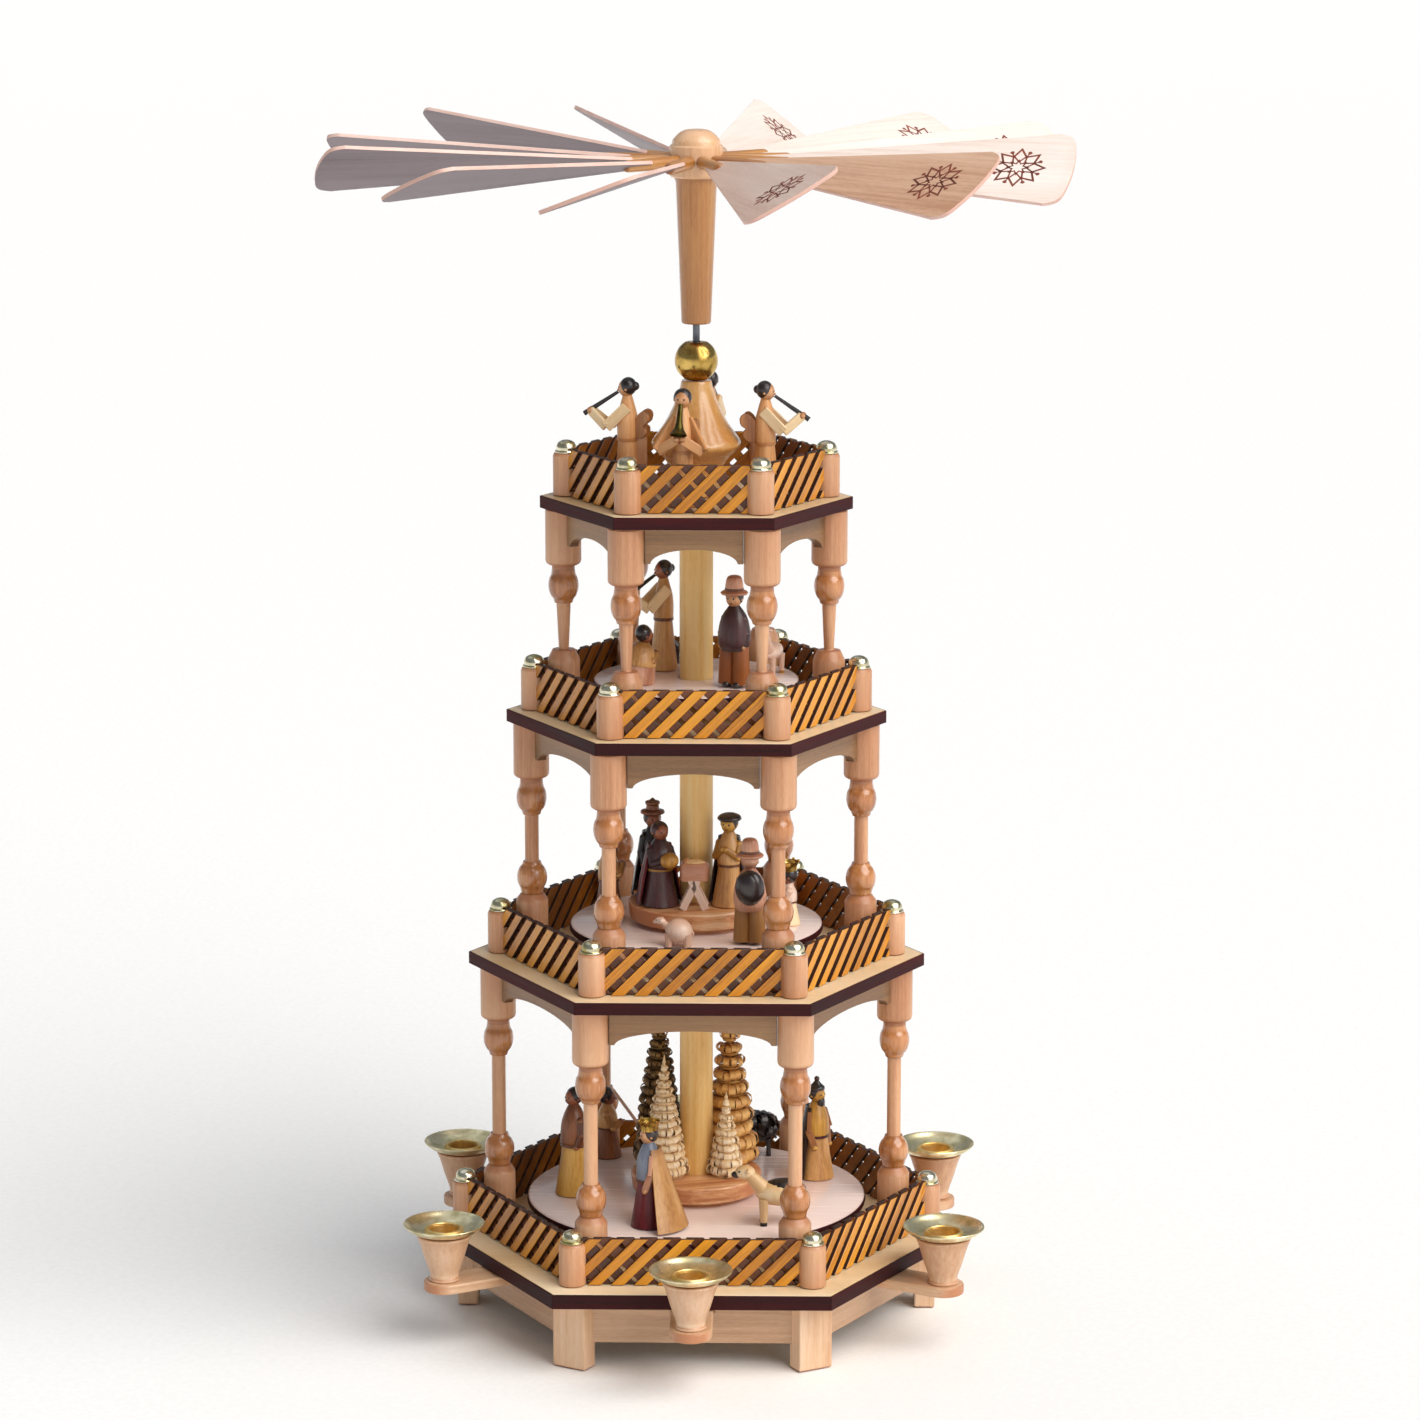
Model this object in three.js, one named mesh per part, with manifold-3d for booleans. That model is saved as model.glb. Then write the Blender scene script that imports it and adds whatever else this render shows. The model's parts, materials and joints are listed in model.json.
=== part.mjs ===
// A four-tier candle pyramid: a six-sided tower of turned columns and lattice railings,
// whose three turntables hang on one shaft under a paddle wheel that the candles drive.
// Sizes are in millimetres. The origin is on the table, under the shaft, and +Z is up.
import * as THREE from "three";
import { mergeVertices } from "three/addons/utils/BufferGeometryUtils.js";
import Module from "manifold-3d";

// Gaps between glued pieces, and round pieces that turn
const seat = 0.3;
const runningGap = 1.5;
const pinGap = 0.45;

// Base: legs, aprons and plate
const legHeight = 31.5;
const legWidth = 17;
const legDepth = 9.5;
const legInset = 13.5;
const apronDepth = 20;
const apronThickness = 6;
const apronInset = 13.7;
const baseRadius = 125;
const basePlateThickness = 7;

// Decks, from the second tier up. Each is as wide as the columns under it allow
const deckThickness = 6;

// Clear heights of the three open storeys
const storey1Height = 124.3;
const storey2Height = 108.6;
const storey3Height = 93.1;

// Railing posts: how far their centres stand in from each plate's corners
const postInset1 = 17.2;
const postInset2 = 15.1;
const postInset3 = 12.9;
const postInset4 = 12.2;
const postRadius = 6.6;
const postHeight = 19.2;
const postChamfer = 1.3;
const capRadius = 5.2;
const capHeight = 6;

// Lattice panels between the posts
const latticeHeight = 21.5;
const latticeThickness = 4;
const barWidth = 3.8;
const widestBay = 27;

// Turned columns, placed inside each tier's posts and a little outside the posts of the tier above
const columnClearance1 = 3.2;
const columnClearance2 = 1.9;
const columnClearance3 = 1;
const columnOffset = 1.6;
const columnFacets = 8;
const columnHeadRadius = 8.2;
const columnHeadHeight = 25.2;
const grooveRadius = 5.2;
const grooveHeight = 1.8;
const beadRadius = 7.1;
const upperBeadHeight = 15.8;
const lowerBeadHeight = 15;
const spindleRadius = 3.6;
const columnBaseRadius = 7.5;
const columnBaseHeight = 27.8;
const shoulderHeight = 3.2;

// Arched boards under the decks
const archEndDepth = 16.4;
const archMiddleDepth = 9.7;
const archThickness = 4.5;

// Candle holders
const armWidth = 19;
const armThickness = 4.6;
const armTail = 10.5;
const candleOverhang = 22.75;
const cupHeight = 22;
const cupFootRadius = 6.3;
const cupWall = 4.6;
const candleRadius = 7.1;
const ferruleWall = 0.7;
const ferruleDepth = 9;
const panRadius = 18.7;
const panHeight = 4.8;
const panThickness = 0.9;

// Shaft and its footstep bearing
const shaftRadius = 7.75;
const shaftLift = 7;
const needleRadius = 1.6;
const needlePoint = 4;
const bearingRadius = 9;
const bearingHeight = 5;
const bearingRecess = 2.5;
const bearingPegRadius = 4;
const bearingPegDepth = 4.5;
const spindleWireRadius = 1.6;
const wireGrip = 24;

// Turntables, and how far their edges stay from the columns' feet
const turntableLift = 15;
const turntableThickness = 4;
const turntableClearance1 = 5.5;
const turntableClearance2 = 9.8;
const turntableClearance3 = 5.8;
const block1Radius = 33;
const block2Radius = 27;
const blockHeight = 8.5;
const blockSpacer = 1.6;
const spacerInset = 5;
const blockTaper = 1;
const discEdge = 1;

// Spire and ball above the top deck
const spireHeight = 52.5;
const spireRadius = 20.4;
const spireFootRadius = 10;
const spireNeckRadius = 7.4;
const ballRadius = 9.8;
const ballHeight = 17.2;

// Paddle wheel
const stemGap = 8.3;
const stemHeight = 66;
const stemFootRadius = 6.7;
const stemTopRadius = 9.2;
const hubRadius = 12;
const hubHeight = 14.2;
const hubDomeHeight = 7;
const paddleCount = 12;
const paddlePitches = [32, 28, 38, 31, 40, 24, 29, 21, 21, 29, 33, 36];
const firstPaddleAngle = 15;
const tenonRadius = 1.5;
const tenonLength = 3.4;
const pegRadius = 3;
const pegTipRadius = 2.4;
const pegLength = 32;
const wheelRadius = 172;
const bladeWidth = 46;
const bladeRootWidth = 7;
const bladeThickness = 2;
const bladeSlot = 14;
const bladeCorner = 5;
const bladeCrown = 1.5;

// Carved figures and the trees of curled shavings
const figureHeight = 47;
const angelHeight = 53;
const treeHeight = 84;
const carvingSink = 0.3;

// Heights that follow from the sizes above
const baseTop = legHeight + basePlateThickness;
const deck2Top = baseTop + storey1Height + deckThickness;
const deck3Top = deck2Top + storey2Height + deckThickness;
const deck4Top = deck3Top + storey3Height + deckThickness;
const spireFoot = deck4Top + seat;
const ballFoot = spireFoot + spireHeight + seat;
const ballTop = ballFoot + ballHeight;
const stemFoot = ballTop + stemGap;
const hubFoot = stemFoot + stemHeight;
const paddleLevel = hubFoot + hubHeight / 2;

const sides = 6;
const sideTurn = (2 * Math.PI) / sides;
const apothemRatio = Math.cos(Math.PI / sides);
const degree = Math.PI / 180;

// Reaches from the axis: each storey's columns stand inside the posts of their tier,
// and the next tier's posts and plate follow from the columns
const postHalf = postRadius * apothemRatio;
const columnHalf = columnBaseRadius * Math.cos(Math.PI / columnFacets);
const postReach1 = baseRadius - postInset1;
const columnReach1 = postReach1 - postHalf - columnHalf - columnClearance1;
const postReach2 = columnReach1 - columnOffset;
const columnReach2 = postReach2 - postHalf - columnHalf - columnClearance2;
const postReach3 = columnReach2 - columnOffset;
const columnReach3 = postReach3 - postHalf - columnHalf - columnClearance3;
const postReach4 = columnReach3 - columnOffset;
const deck2Radius = postReach2 + postInset2;
const deck3Radius = postReach3 + postInset3;
const deck4Radius = postReach4 + postInset4;
const apronFace = baseRadius * apothemRatio - apronInset;
const armInnerReach = apronFace - apronThickness - armTail;
const candleReach = baseRadius * apothemRatio + candleOverhang;
const turntable1Radius = columnReach1 - columnBaseRadius - turntableClearance1;
const turntable2Radius = columnReach2 - columnBaseRadius - turntableClearance2;
const turntable3Radius = columnReach3 - columnBaseRadius - turntableClearance3;

const tiers = [
  { top: baseTop, radius: baseRadius, postReach: postReach1 },
  { top: deck2Top, radius: deck2Radius, postReach: postReach2 },
  { top: deck3Top, radius: deck3Radius, postReach: postReach3 },
  { top: deck4Top, radius: deck4Radius, postReach: postReach4 },
];
const storeys = [
  { floor: baseTop, height: storey1Height, reach: columnReach1, lowerBead: true },
  { floor: deck2Top, height: storey2Height, reach: columnReach2, lowerBead: true },
  { floor: deck3Top, height: storey3Height, reach: columnReach3, lowerBead: false },
];

const beech = { color: 0xe3c296, roughness: 0.45, metalness: 0 };
const paleMaple = { color: 0xefd9b4, roughness: 0.4, metalness: 0 };
const honeyPine = { color: 0xd9a65c, roughness: 0.5, metalness: 0 };
const lacquer = { color: 0xe6dbe0, roughness: 0.25, metalness: 0 };
const brass = { color: 0xb9a04f, roughness: 0.3, metalness: 1 };
const steel = { color: 0x9a9da3, roughness: 0.3, metalness: 1 };

const wasm = await Module();
wasm.setup();

// The geometry as a solid, with its shared vertices merged and its slivers dropped.
function solidOf(geometry) {
  const bare = new THREE.BufferGeometry();
  bare.setAttribute("position", geometry.getAttribute("position"));
  bare.setIndex(geometry.getIndex());
  const merged = mergeVertices(bare, 1e-4);
  const corners = merged.getIndex().array;
  const kept = [];
  for (let i = 0; i < corners.length; i += 3) {
    const [a, b, c] = [corners[i], corners[i + 1], corners[i + 2]];
    if (a !== b && b !== c && c !== a) kept.push(a, b, c);
  }
  return new wasm.Manifold(
    new wasm.Mesh({
      numProp: 3,
      vertProperties: new Float32Array(merged.getAttribute("position").array),
      triVerts: new Uint32Array(kept),
    }),
  );
}

function geometryOf(solid) {
  const mesh = solid.getMesh();
  const geometry = new THREE.BufferGeometry();
  geometry.setAttribute("position", new THREE.BufferAttribute(new Float32Array(mesh.vertProperties), 3));
  geometry.setIndex(new THREE.BufferAttribute(new Uint32Array(mesh.triVerts), 1));
  const flat = geometry.toNonIndexed();
  flat.computeVertexNormals();
  return flat;
}

function join(...geometries) {
  return geometryOf(geometries.map(solidOf).reduce((whole, next) => whole.add(next)));
}

function cut(geometry, ...tools) {
  return geometryOf(tools.map(solidOf).reduce((whole, tool) => whole.subtract(tool), solidOf(geometry)));
}

// A turned piece about Z. The profile is [radius, height] points, listed bottom to top on the outside.
function turned(profile, facets, turn = 0) {
  const points = profile.map(([radius, height]) => new THREE.Vector2(radius, height));
  return new THREE.LatheGeometry(points, facets).rotateX(Math.PI / 2).rotateZ(turn);
}

// A turned piece with its flats, not its corners, facing along X and Y.
function turnedWithFlats(profile, facets) {
  return turned(profile, facets, Math.PI / facets);
}

function hexagonShape(radius) {
  const shape = new THREE.Shape();
  for (let i = 0; i < sides; i++) {
    const x = radius * Math.cos(i * sideTurn);
    const y = radius * Math.sin(i * sideTurn);
    if (i === 0) shape.moveTo(x, y);
    else shape.lineTo(x, y);
  }
  shape.closePath();
  return shape;
}

function hexagonPlate(radius, thickness, holeRadius, top) {
  const shape = hexagonShape(radius);
  const hole = new THREE.Path();
  hole.absarc(0, 0, holeRadius, 0, 2 * Math.PI, true);
  shape.holes.push(hole);
  const plate = new THREE.ExtrudeGeometry(shape, { depth: thickness, bevelEnabled: false, curveSegments: 6 });
  return plate.translate(0, 0, top - thickness);
}

// The same piece at each of the six corners, or at the middle of each of the six sides.
function atCorners(geometry) {
  return Array.from({ length: sides }, (_, i) => geometry.clone().rotateZ(i * sideTurn));
}

function atSides(geometry) {
  return Array.from({ length: sides }, (_, i) => geometry.clone().rotateZ((i + 0.5) * sideTurn));
}

function piece(name, geometry, finish, place = {}) {
  const mesh = new THREE.Mesh(geometry, new THREE.MeshStandardMaterial({ ...finish, flatShading: true }));
  mesh.name = name;
  mesh.position.set(place.x ?? 0, place.y ?? 0, place.z ?? 0);
  mesh.rotation.z = place.turn ?? 0;
  return mesh;
}

function aroundAxis(reach, angle, z) {
  return { x: reach * Math.cos(angle), y: reach * Math.sin(angle), z, turn: angle };
}

// Legs at the corners and one ring of aprons, with a notch in each side for its candle arm.
function baseFrame() {
  const legCentre = baseRadius - legInset - legDepth / 2;
  const leg = new THREE.BoxGeometry(legDepth, legWidth, legHeight - seat);
  leg.translate(legCentre, 0, (legHeight - seat) / 2);
  const ring = hexagonShape(apronFace / apothemRatio);
  ring.holes.push(hexagonShape((apronFace - apronThickness) / apothemRatio));
  const aprons = new THREE.ExtrudeGeometry(ring, { depth: apronDepth - seat, bevelEnabled: false });
  aprons.translate(0, 0, legHeight - apronDepth);
  const notch = new THREE.BoxGeometry(4 * apronThickness, armWidth + 2 * seat, 2 * (armThickness + 2 * seat));
  notch.translate(apronFace, 0, legHeight);
  return cut(join(aprons, ...atCorners(leg)), ...atSides(notch));
}

function basePlate() {
  return hexagonPlate(baseRadius, basePlateThickness, bearingPegRadius + seat, baseTop);
}

// The cup that the shaft's steel point turns in, with a peg that sits in the base plate.
function bearingCup() {
  const profile = [
    [0, -bearingPegDepth],
    [bearingPegRadius, -bearingPegDepth],
    [bearingPegRadius, seat],
    [bearingRadius, seat],
    [bearingRadius, bearingHeight - 1],
    [bearingRadius - 1, bearingHeight],
    [needlePoint + seat, bearingHeight],
    [0, bearingHeight - bearingRecess],
  ];
  return turned(profile, 12).translate(0, 0, baseTop);
}

// A shallow arched board, hung under the deck between two column heads.
function archBoard(columnReach) {
  const half = columnReach / 2 - columnHeadRadius - seat;
  const rise = archEndDepth - archMiddleDepth;
  const arcRadius = (half * half + rise * rise) / (2 * rise);
  const spread = Math.asin(half / arcRadius);
  const shape = new THREE.Shape();
  shape.moveTo(half, 0);
  shape.lineTo(-half, 0);
  shape.lineTo(-half, -archEndDepth);
  shape.absarc(0, -archMiddleDepth - arcRadius, arcRadius, Math.PI / 2 + spread, Math.PI / 2 - spread, true);
  shape.closePath();
  const board = new THREE.ExtrudeGeometry(shape, { depth: archThickness, bevelEnabled: false, curveSegments: 4 });
  board.translate(0, 0, -archThickness / 2).rotateX(Math.PI / 2).rotateZ(Math.PI / 2);
  return board.translate(columnReach * apothemRatio, 0, 0);
}

function deck(tier, holeRadius) {
  const { radius, top } = tiers[tier];
  const sunk = 0.2;
  const arch = archBoard(storeys[tier - 1].reach).translate(0, 0, top - deckThickness + sunk);
  return join(hexagonPlate(radius, deckThickness, holeRadius, top), ...atSides(arch));
}

// One lattice panel along X, standing on z = 0: crossed bars that run from corner to corner of each bay.
function latticePanel(length) {
  const bays = Math.ceil(length / widestBay);
  const pitch = length / bays;
  const diagonal = Math.hypot(pitch, latticeHeight);
  const across = (barWidth * diagonal) / (2 * latticeHeight);
  const upright = (barWidth * diagonal) / (2 * pitch);
  const middle = latticeHeight / 2;
  const point = (x, y) => new THREE.Vector2(x - length / 2, y);
  const rim = (level, inward) =>
    Array.from({ length: bays }, (_, i) => [
      point(i * pitch + across, level),
      point((i + 0.5) * pitch, middle - inward * upright),
      point((i + 1) * pitch - across, level),
    ]).flat();
  const shape = new THREE.Shape([
    point(0, 0),
    ...rim(0, 1),
    point(length, 0),
    point(length, upright),
    point(length - pitch / 2 + across, middle),
    point(length, latticeHeight - upright),
    point(length, latticeHeight),
    ...rim(latticeHeight, -1).reverse(),
    point(0, latticeHeight),
    point(0, latticeHeight - upright),
    point(pitch / 2 - across, middle),
    point(0, upright),
  ]);
  for (let i = 1; i < bays; i++) {
    const diamond = [
      point(i * pitch - pitch / 2 + across, middle),
      point(i * pitch, latticeHeight - upright),
      point(i * pitch + pitch / 2 - across, middle),
      point(i * pitch, upright),
    ];
    shape.holes.push(new THREE.Path(diamond));
  }
  const panel = new THREE.ExtrudeGeometry(shape, { depth: latticeThickness, bevelEnabled: false });
  return panel.translate(0, 0, -latticeThickness / 2).rotateX(Math.PI / 2);
}

// A six-sided post whose flats meet the panels, with a chamfered top and a domed cap.
function railingPost() {
  const capSeat = postHeight + postChamfer;
  return turnedWithFlats(
    [
      [0, 0],
      [postRadius, 0],
      [postRadius, postHeight],
      [capRadius, capSeat],
      [0.8 * capRadius, capSeat + 0.65 * capHeight],
      [0, capSeat + capHeight],
    ],
    sides,
  );
}

function railing(tier) {
  const { top, postReach } = tiers[tier];
  const post = railingPost().translate(postReach, 0, 0);
  const panel = latticePanel(postReach).rotateZ(Math.PI / 2).translate(postReach * apothemRatio, 0, 0);
  return join(...atCorners(post), ...atSides(panel)).translate(0, 0, top + seat);
}

// A turned column: base block, egg bead, thin spindle, egg bead and a plain round head.
function column({ height, lowerBead }) {
  const top = height - 2 * seat;
  const headFoot = top - columnHeadHeight;
  const beadTop = headFoot - grooveHeight;
  const beadFoot = beadTop - upperBeadHeight;
  const profile = [
    [0, 0],
    [columnBaseRadius, 0],
    [columnBaseRadius, columnBaseHeight - shoulderHeight],
  ];
  if (lowerBead) {
    profile.push(
      [grooveRadius, columnBaseHeight],
      [beadRadius, columnBaseHeight + 0.3 * lowerBeadHeight],
      [0.9 * beadRadius, columnBaseHeight + 0.66 * lowerBeadHeight],
      [spindleRadius, columnBaseHeight + lowerBeadHeight],
    );
  } else {
    profile.push([spindleRadius, columnBaseHeight + 1]);
  }
  profile.push(
    [spindleRadius, beadFoot],
    [0.9 * beadRadius, beadFoot + 0.34 * upperBeadHeight],
    [beadRadius, beadFoot + 0.7 * upperBeadHeight],
    [grooveRadius, beadTop],
    [columnHeadRadius, headFoot],
    [columnHeadRadius, top],
    [0, top],
  );
  return turnedWithFlats(profile, columnFacets);
}

// A flat arm with a round end, and the tapered cup that stands on it, bored for the ferrule.
function candleArm() {
  const half = armWidth / 2;
  const shape = new THREE.Shape();
  shape.moveTo(armInnerReach, -half);
  shape.lineTo(candleReach, -half);
  shape.absarc(candleReach, 0, half, -Math.PI / 2, Math.PI / 2, false);
  shape.lineTo(armInnerReach, half);
  shape.closePath();
  const arm = new THREE.ExtrudeGeometry(shape, { depth: armThickness, bevelEnabled: false, curveSegments: 3 });
  arm.translate(0, 0, -armThickness);
  const boreRadius = candleRadius + ferruleWall + seat;
  const boreFloor = cupHeight - ferruleDepth - 2 * seat;
  const sunk = -0.2;
  const cup = turned(
    [
      [0, sunk],
      [cupFootRadius, sunk],
      [boreRadius + cupWall, cupHeight],
      [boreRadius, cupHeight],
      [boreRadius, boreFloor],
      [0, boreFloor],
    ],
    10,
  );
  return join(arm, cup.translate(candleReach, 0, 0));
}

// A brass pan pressed in one piece with the ferrule that holds the candle.
function dripPan() {
  const ferruleRadius = candleRadius + ferruleWall;
  const flatRadius = 0.66 * panRadius;
  return turned(
    [
      [0, -ferruleDepth],
      [ferruleRadius, -ferruleDepth],
      [ferruleRadius, 0],
      [flatRadius, 0.3],
      [panRadius, panHeight],
      [candleRadius, panThickness],
      [candleRadius, ferruleWall - ferruleDepth],
      [0, ferruleWall - ferruleDepth],
    ],
    10,
  );
}

function spire() {
  const bore = spindleWireRadius + 2 * pinGap;
  return turned(
    [
      [bore, 0],
      [spireFootRadius, 0],
      [spireFootRadius, 0.13 * spireHeight],
      [spireRadius, 0.4 * spireHeight],
      [0.84 * spireRadius, 0.51 * spireHeight],
      [0.63 * spireRadius, 0.64 * spireHeight],
      [0.45 * spireRadius, 0.77 * spireHeight],
      [spireNeckRadius, spireHeight],
      [bore, spireHeight],
      [bore, 0],
    ],
    12,
  ).translate(0, 0, spireFoot);
}

function brassBall() {
  const bore = spindleWireRadius + pinGap;
  const middle = ballHeight / 2;
  const profile = [[bore, 0]];
  for (const share of [-1, -0.62, 0, 0.62, 1]) {
    const bulge = Math.sqrt(1 - (share * share * middle * middle) / (ballRadius * ballRadius));
    profile.push([Math.max(bore + 1, ballRadius * bulge), middle + share * middle]);
  }
  profile.push([bore, ballHeight], [bore, 0]);
  return turned(profile, 12).translate(0, 0, ballFoot);
}

// The wooden shaft, from its steel point in the bearing cup to just under the top deck.
const shaftFoot = baseTop + shaftLift;
const shaftTop = deck4Top - deckThickness - runningGap;

function shaft() {
  const pointTip = baseTop + bearingHeight - bearingRecess + 2 * seat;
  const wireBore = spindleWireRadius + seat;
  const boreFloor = shaftTop - wireGrip;
  return turned(
    [
      [0, pointTip],
      [needleRadius, pointTip + needleRadius],
      [needleRadius, shaftFoot],
      [shaftRadius, shaftFoot],
      [shaftRadius, shaftTop],
      [wireBore, shaftTop],
      [wireBore, boreFloor],
      [0, boreFloor],
    ],
    12,
  );
}

// The steel wire that carries the wheel's turn through the spire and the ball into the shaft.
function spindleWire() {
  const foot = shaftTop - wireGrip + seat;
  const top = stemFoot + wireGrip;
  return turned(
    [
      [0, foot],
      [spindleWireRadius, foot],
      [spindleWireRadius, top],
      [0, top],
    ],
    6,
  );
}

// Hub and stem turned in one: a long taper, a drum for the pegs and a low dome.
function wheelHub() {
  const bore = spindleWireRadius + seat;
  const boreTop = wireGrip + seat;
  const drumTop = stemHeight + hubHeight;
  const body = turned(
    [
      [0, boreTop],
      [bore, boreTop],
      [bore, 0],
      [stemFootRadius, 0],
      [stemTopRadius, stemHeight - 2],
      [hubRadius, stemHeight],
      [hubRadius, drumTop],
      [0.8 * hubRadius, drumTop + 0.55 * hubDomeHeight],
      [0.42 * hubRadius, drumTop + 0.92 * hubDomeHeight],
      [0, drumTop + hubDomeHeight],
    ],
    paddleCount,
    firstPaddleAngle * degree + Math.PI / paddleCount,
  );
  const socketReach = hubRadius - tenonLength / 2;
  const sockets = paddleAngles().map((angle) =>
    new THREE.CylinderGeometry(tenonRadius + pinGap, tenonRadius + pinGap, tenonLength + 2, 6)
      .rotateZ(Math.PI / 2)
      .translate(socketReach, 0, stemHeight + hubHeight / 2)
      .rotateZ(angle),
  );
  return cut(body, ...sockets);
}

function paddleAngles() {
  const step = (2 * Math.PI) / paddleCount;
  return Array.from({ length: paddleCount }, (_, i) => firstPaddleAngle * degree + i * step);
}

// A paddle along X: a tapered peg with a tenon for the hub, slit for a thin widening blade.
function paddle(pitch) {
  const shoulder = hubRadius * Math.cos(Math.PI / paddleCount) + seat;
  const pegEnd = shoulder + pegLength;
  const peg = turned(
    [
      [0, shoulder - tenonLength + seat],
      [tenonRadius, shoulder - tenonLength + seat],
      [tenonRadius, shoulder],
      [pegRadius, shoulder],
      [pegTipRadius, pegEnd],
      [0, pegEnd],
    ],
    6,
  ).rotateY(Math.PI / 2);
  const half = bladeWidth / 2;
  const rootHalf = bladeRootWidth / 2;
  const edge = [
    [pegEnd - bladeSlot, rootHalf],
    [wheelRadius - bladeCrown - bladeCorner, half],
    [wheelRadius - bladeCrown - 0.3 * bladeCorner, half - 0.3 * bladeCorner],
    [wheelRadius - bladeCrown, half - bladeCorner],
  ];
  const outline = [...edge, [wheelRadius, 0], ...edge.toReversed().map(([x, y]) => [x, -y])];
  const shape = new THREE.Shape(outline.map(([x, y]) => new THREE.Vector2(x, y)));
  const blade = new THREE.ExtrudeGeometry(shape, { depth: bladeThickness, bevelEnabled: false });
  blade.translate(0, 0, -bladeThickness / 2);
  return join(peg, blade).rotateX(pitch * degree);
}

// A carved figure in a long robe, standing on z = 0. Its height, girth and hat are shares
// of a figure's height.
function figure({ height = 1, girth = 0.18, hat = 0, size = figureHeight }) {
  const head = 0.085;
  const neck = height - 2.3 * head - hat;
  const profile = [
    [0, 0],
    [girth, 0],
    [0.64 * girth, 0.85 * neck],
    [0.45 * head, neck],
    [head, neck + 0.9 * head],
    [(hat > 0 ? 1.7 : 0.8) * head, neck + 1.9 * head],
    [hat > 0 ? 0.7 * head : 0, height],
  ];
  if (hat > 0) profile.push([0, height]);
  return carved(profile, size);
}

// A kneeling figure: a low bent body with the head held forward.
function kneelingFigure() {
  const body = carved(
    [
      [0, 0],
      [0.17, 0],
      [0.15, 0.19],
      [0.1, 0.38],
      [0, 0.46],
    ],
    figureHeight,
  );
  const head = new THREE.IcosahedronGeometry(0.085 * figureHeight, 0);
  return join(body, head.translate(0.055 * figureHeight, 0, 0.44 * figureHeight));
}

// A turned carving with six sides, let a little way into what it is glued to.
function carved(profile, size) {
  const points = profile.map(([radius, height]) => [radius * size, height * size]);
  return turned(points, 6).translate(0, 0, -carvingSink);
}

// A four-legged animal facing +X. Its shoulder height is a share of a figure's height.
function animal(share, neckRise = 0.35) {
  const shoulder = share * figureHeight;
  const outline = [
    [-0.6, 0],
    [-0.36, 0],
    [-0.3, 0.5],
    [0.34, 0.5],
    [0.4, 0],
    [0.62, 0],
    [0.6, 0.72],
    [0.74, 0.82 + neckRise],
    [1.02, 0.8 + neckRise],
    [1.02, 1.06 + neckRise],
    [0.6, 1.16 + neckRise],
    [0.36, 1],
    [-0.6, 1],
  ];
  const width = 0.5 * shoulder;
  const points = outline.map(([x, y]) => new THREE.Vector2(x * shoulder, y * shoulder - carvingSink));
  const body = new THREE.ExtrudeGeometry(new THREE.Shape(points), { depth: width, bevelEnabled: false });
  return body.translate(0, 0, -width / 2).rotateX(Math.PI / 2);
}

// A tree of curled shavings: rings of curls that shrink towards the tip. Its height and
// girth are shares of the tallest tree.
function shavedTree(height, girth) {
  const rings = 3;
  const profile = [
    [0, 0],
    [0.3 * girth, 0],
  ];
  for (let i = 0; i < rings; i++) {
    const share = i / rings;
    const next = (i + 1) / rings;
    profile.push([girth * (1 - 0.85 * share), height * (0.04 + 0.94 * share)]);
    profile.push([0.55 * girth * (1 - 0.85 * next), 0.94 * height * next]);
  }
  profile.push([0, height]);
  return carved(profile, treeHeight);
}

function manger() {
  const unit = figureHeight / 47;
  const trough = new THREE.BoxGeometry(9, 15, 6).translate(0, 0, 15);
  const legs = [-1, 1].map((lean) => {
    const leg = new THREE.BoxGeometry(2.4, 12, 15);
    return leg.rotateY(lean * 0.42).translate(0, 0, 6.6);
  });
  const floor = new THREE.BoxGeometry(30, 30, 30).translate(0, 0, -15);
  return cut(join(trough, ...legs), floor).scale(unit, unit, unit).translate(0, 0, -carvingSink);
}

function placed(geometry, reach, azimuth, facing, level) {
  const angle = azimuth * degree;
  geometry.rotateZ(facing * degree);
  return geometry.translate(reach * Math.cos(angle), reach * Math.sin(angle), level);
}

// A disc with its round block, from the bottom up, bored to fit the shaft.
function turntableDisc(radius, blockRadius, facets) {
  const disc = turned(
    [
      [0, -turntableThickness],
      [radius - discEdge, -turntableThickness],
      [radius, -0.6 * turntableThickness],
      [radius, 0],
      [0, 0],
    ],
    facets,
  );
  const parts = [disc];
  if (blockRadius > 0) {
    const spacerRadius = blockRadius - spacerInset;
    parts.push(
      turned(
        [
          [0, -carvingSink],
          [spacerRadius, -carvingSink],
          [spacerRadius, blockSpacer],
          [blockRadius - blockTaper, blockSpacer],
          [blockRadius, blockSpacer + blockHeight],
          [0, blockSpacer + blockHeight],
        ],
        12,
      ),
    );
  }
  return parts;
}

function turntable(tier, radius, blockRadius, facets, figures) {
  const boreLength = 4 * (turntableThickness + blockHeight);
  const bore = new THREE.CylinderGeometry(shaftRadius + seat, shaftRadius + seat, boreLength, 12);
  bore.rotateX(Math.PI / 2);
  const whole = cut(join(...turntableDisc(radius, blockRadius, facets), ...figures), bore);
  return whole.translate(0, 0, tiers[tier].top + turntableLift);
}

const blockTop = blockSpacer + blockHeight;

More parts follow.
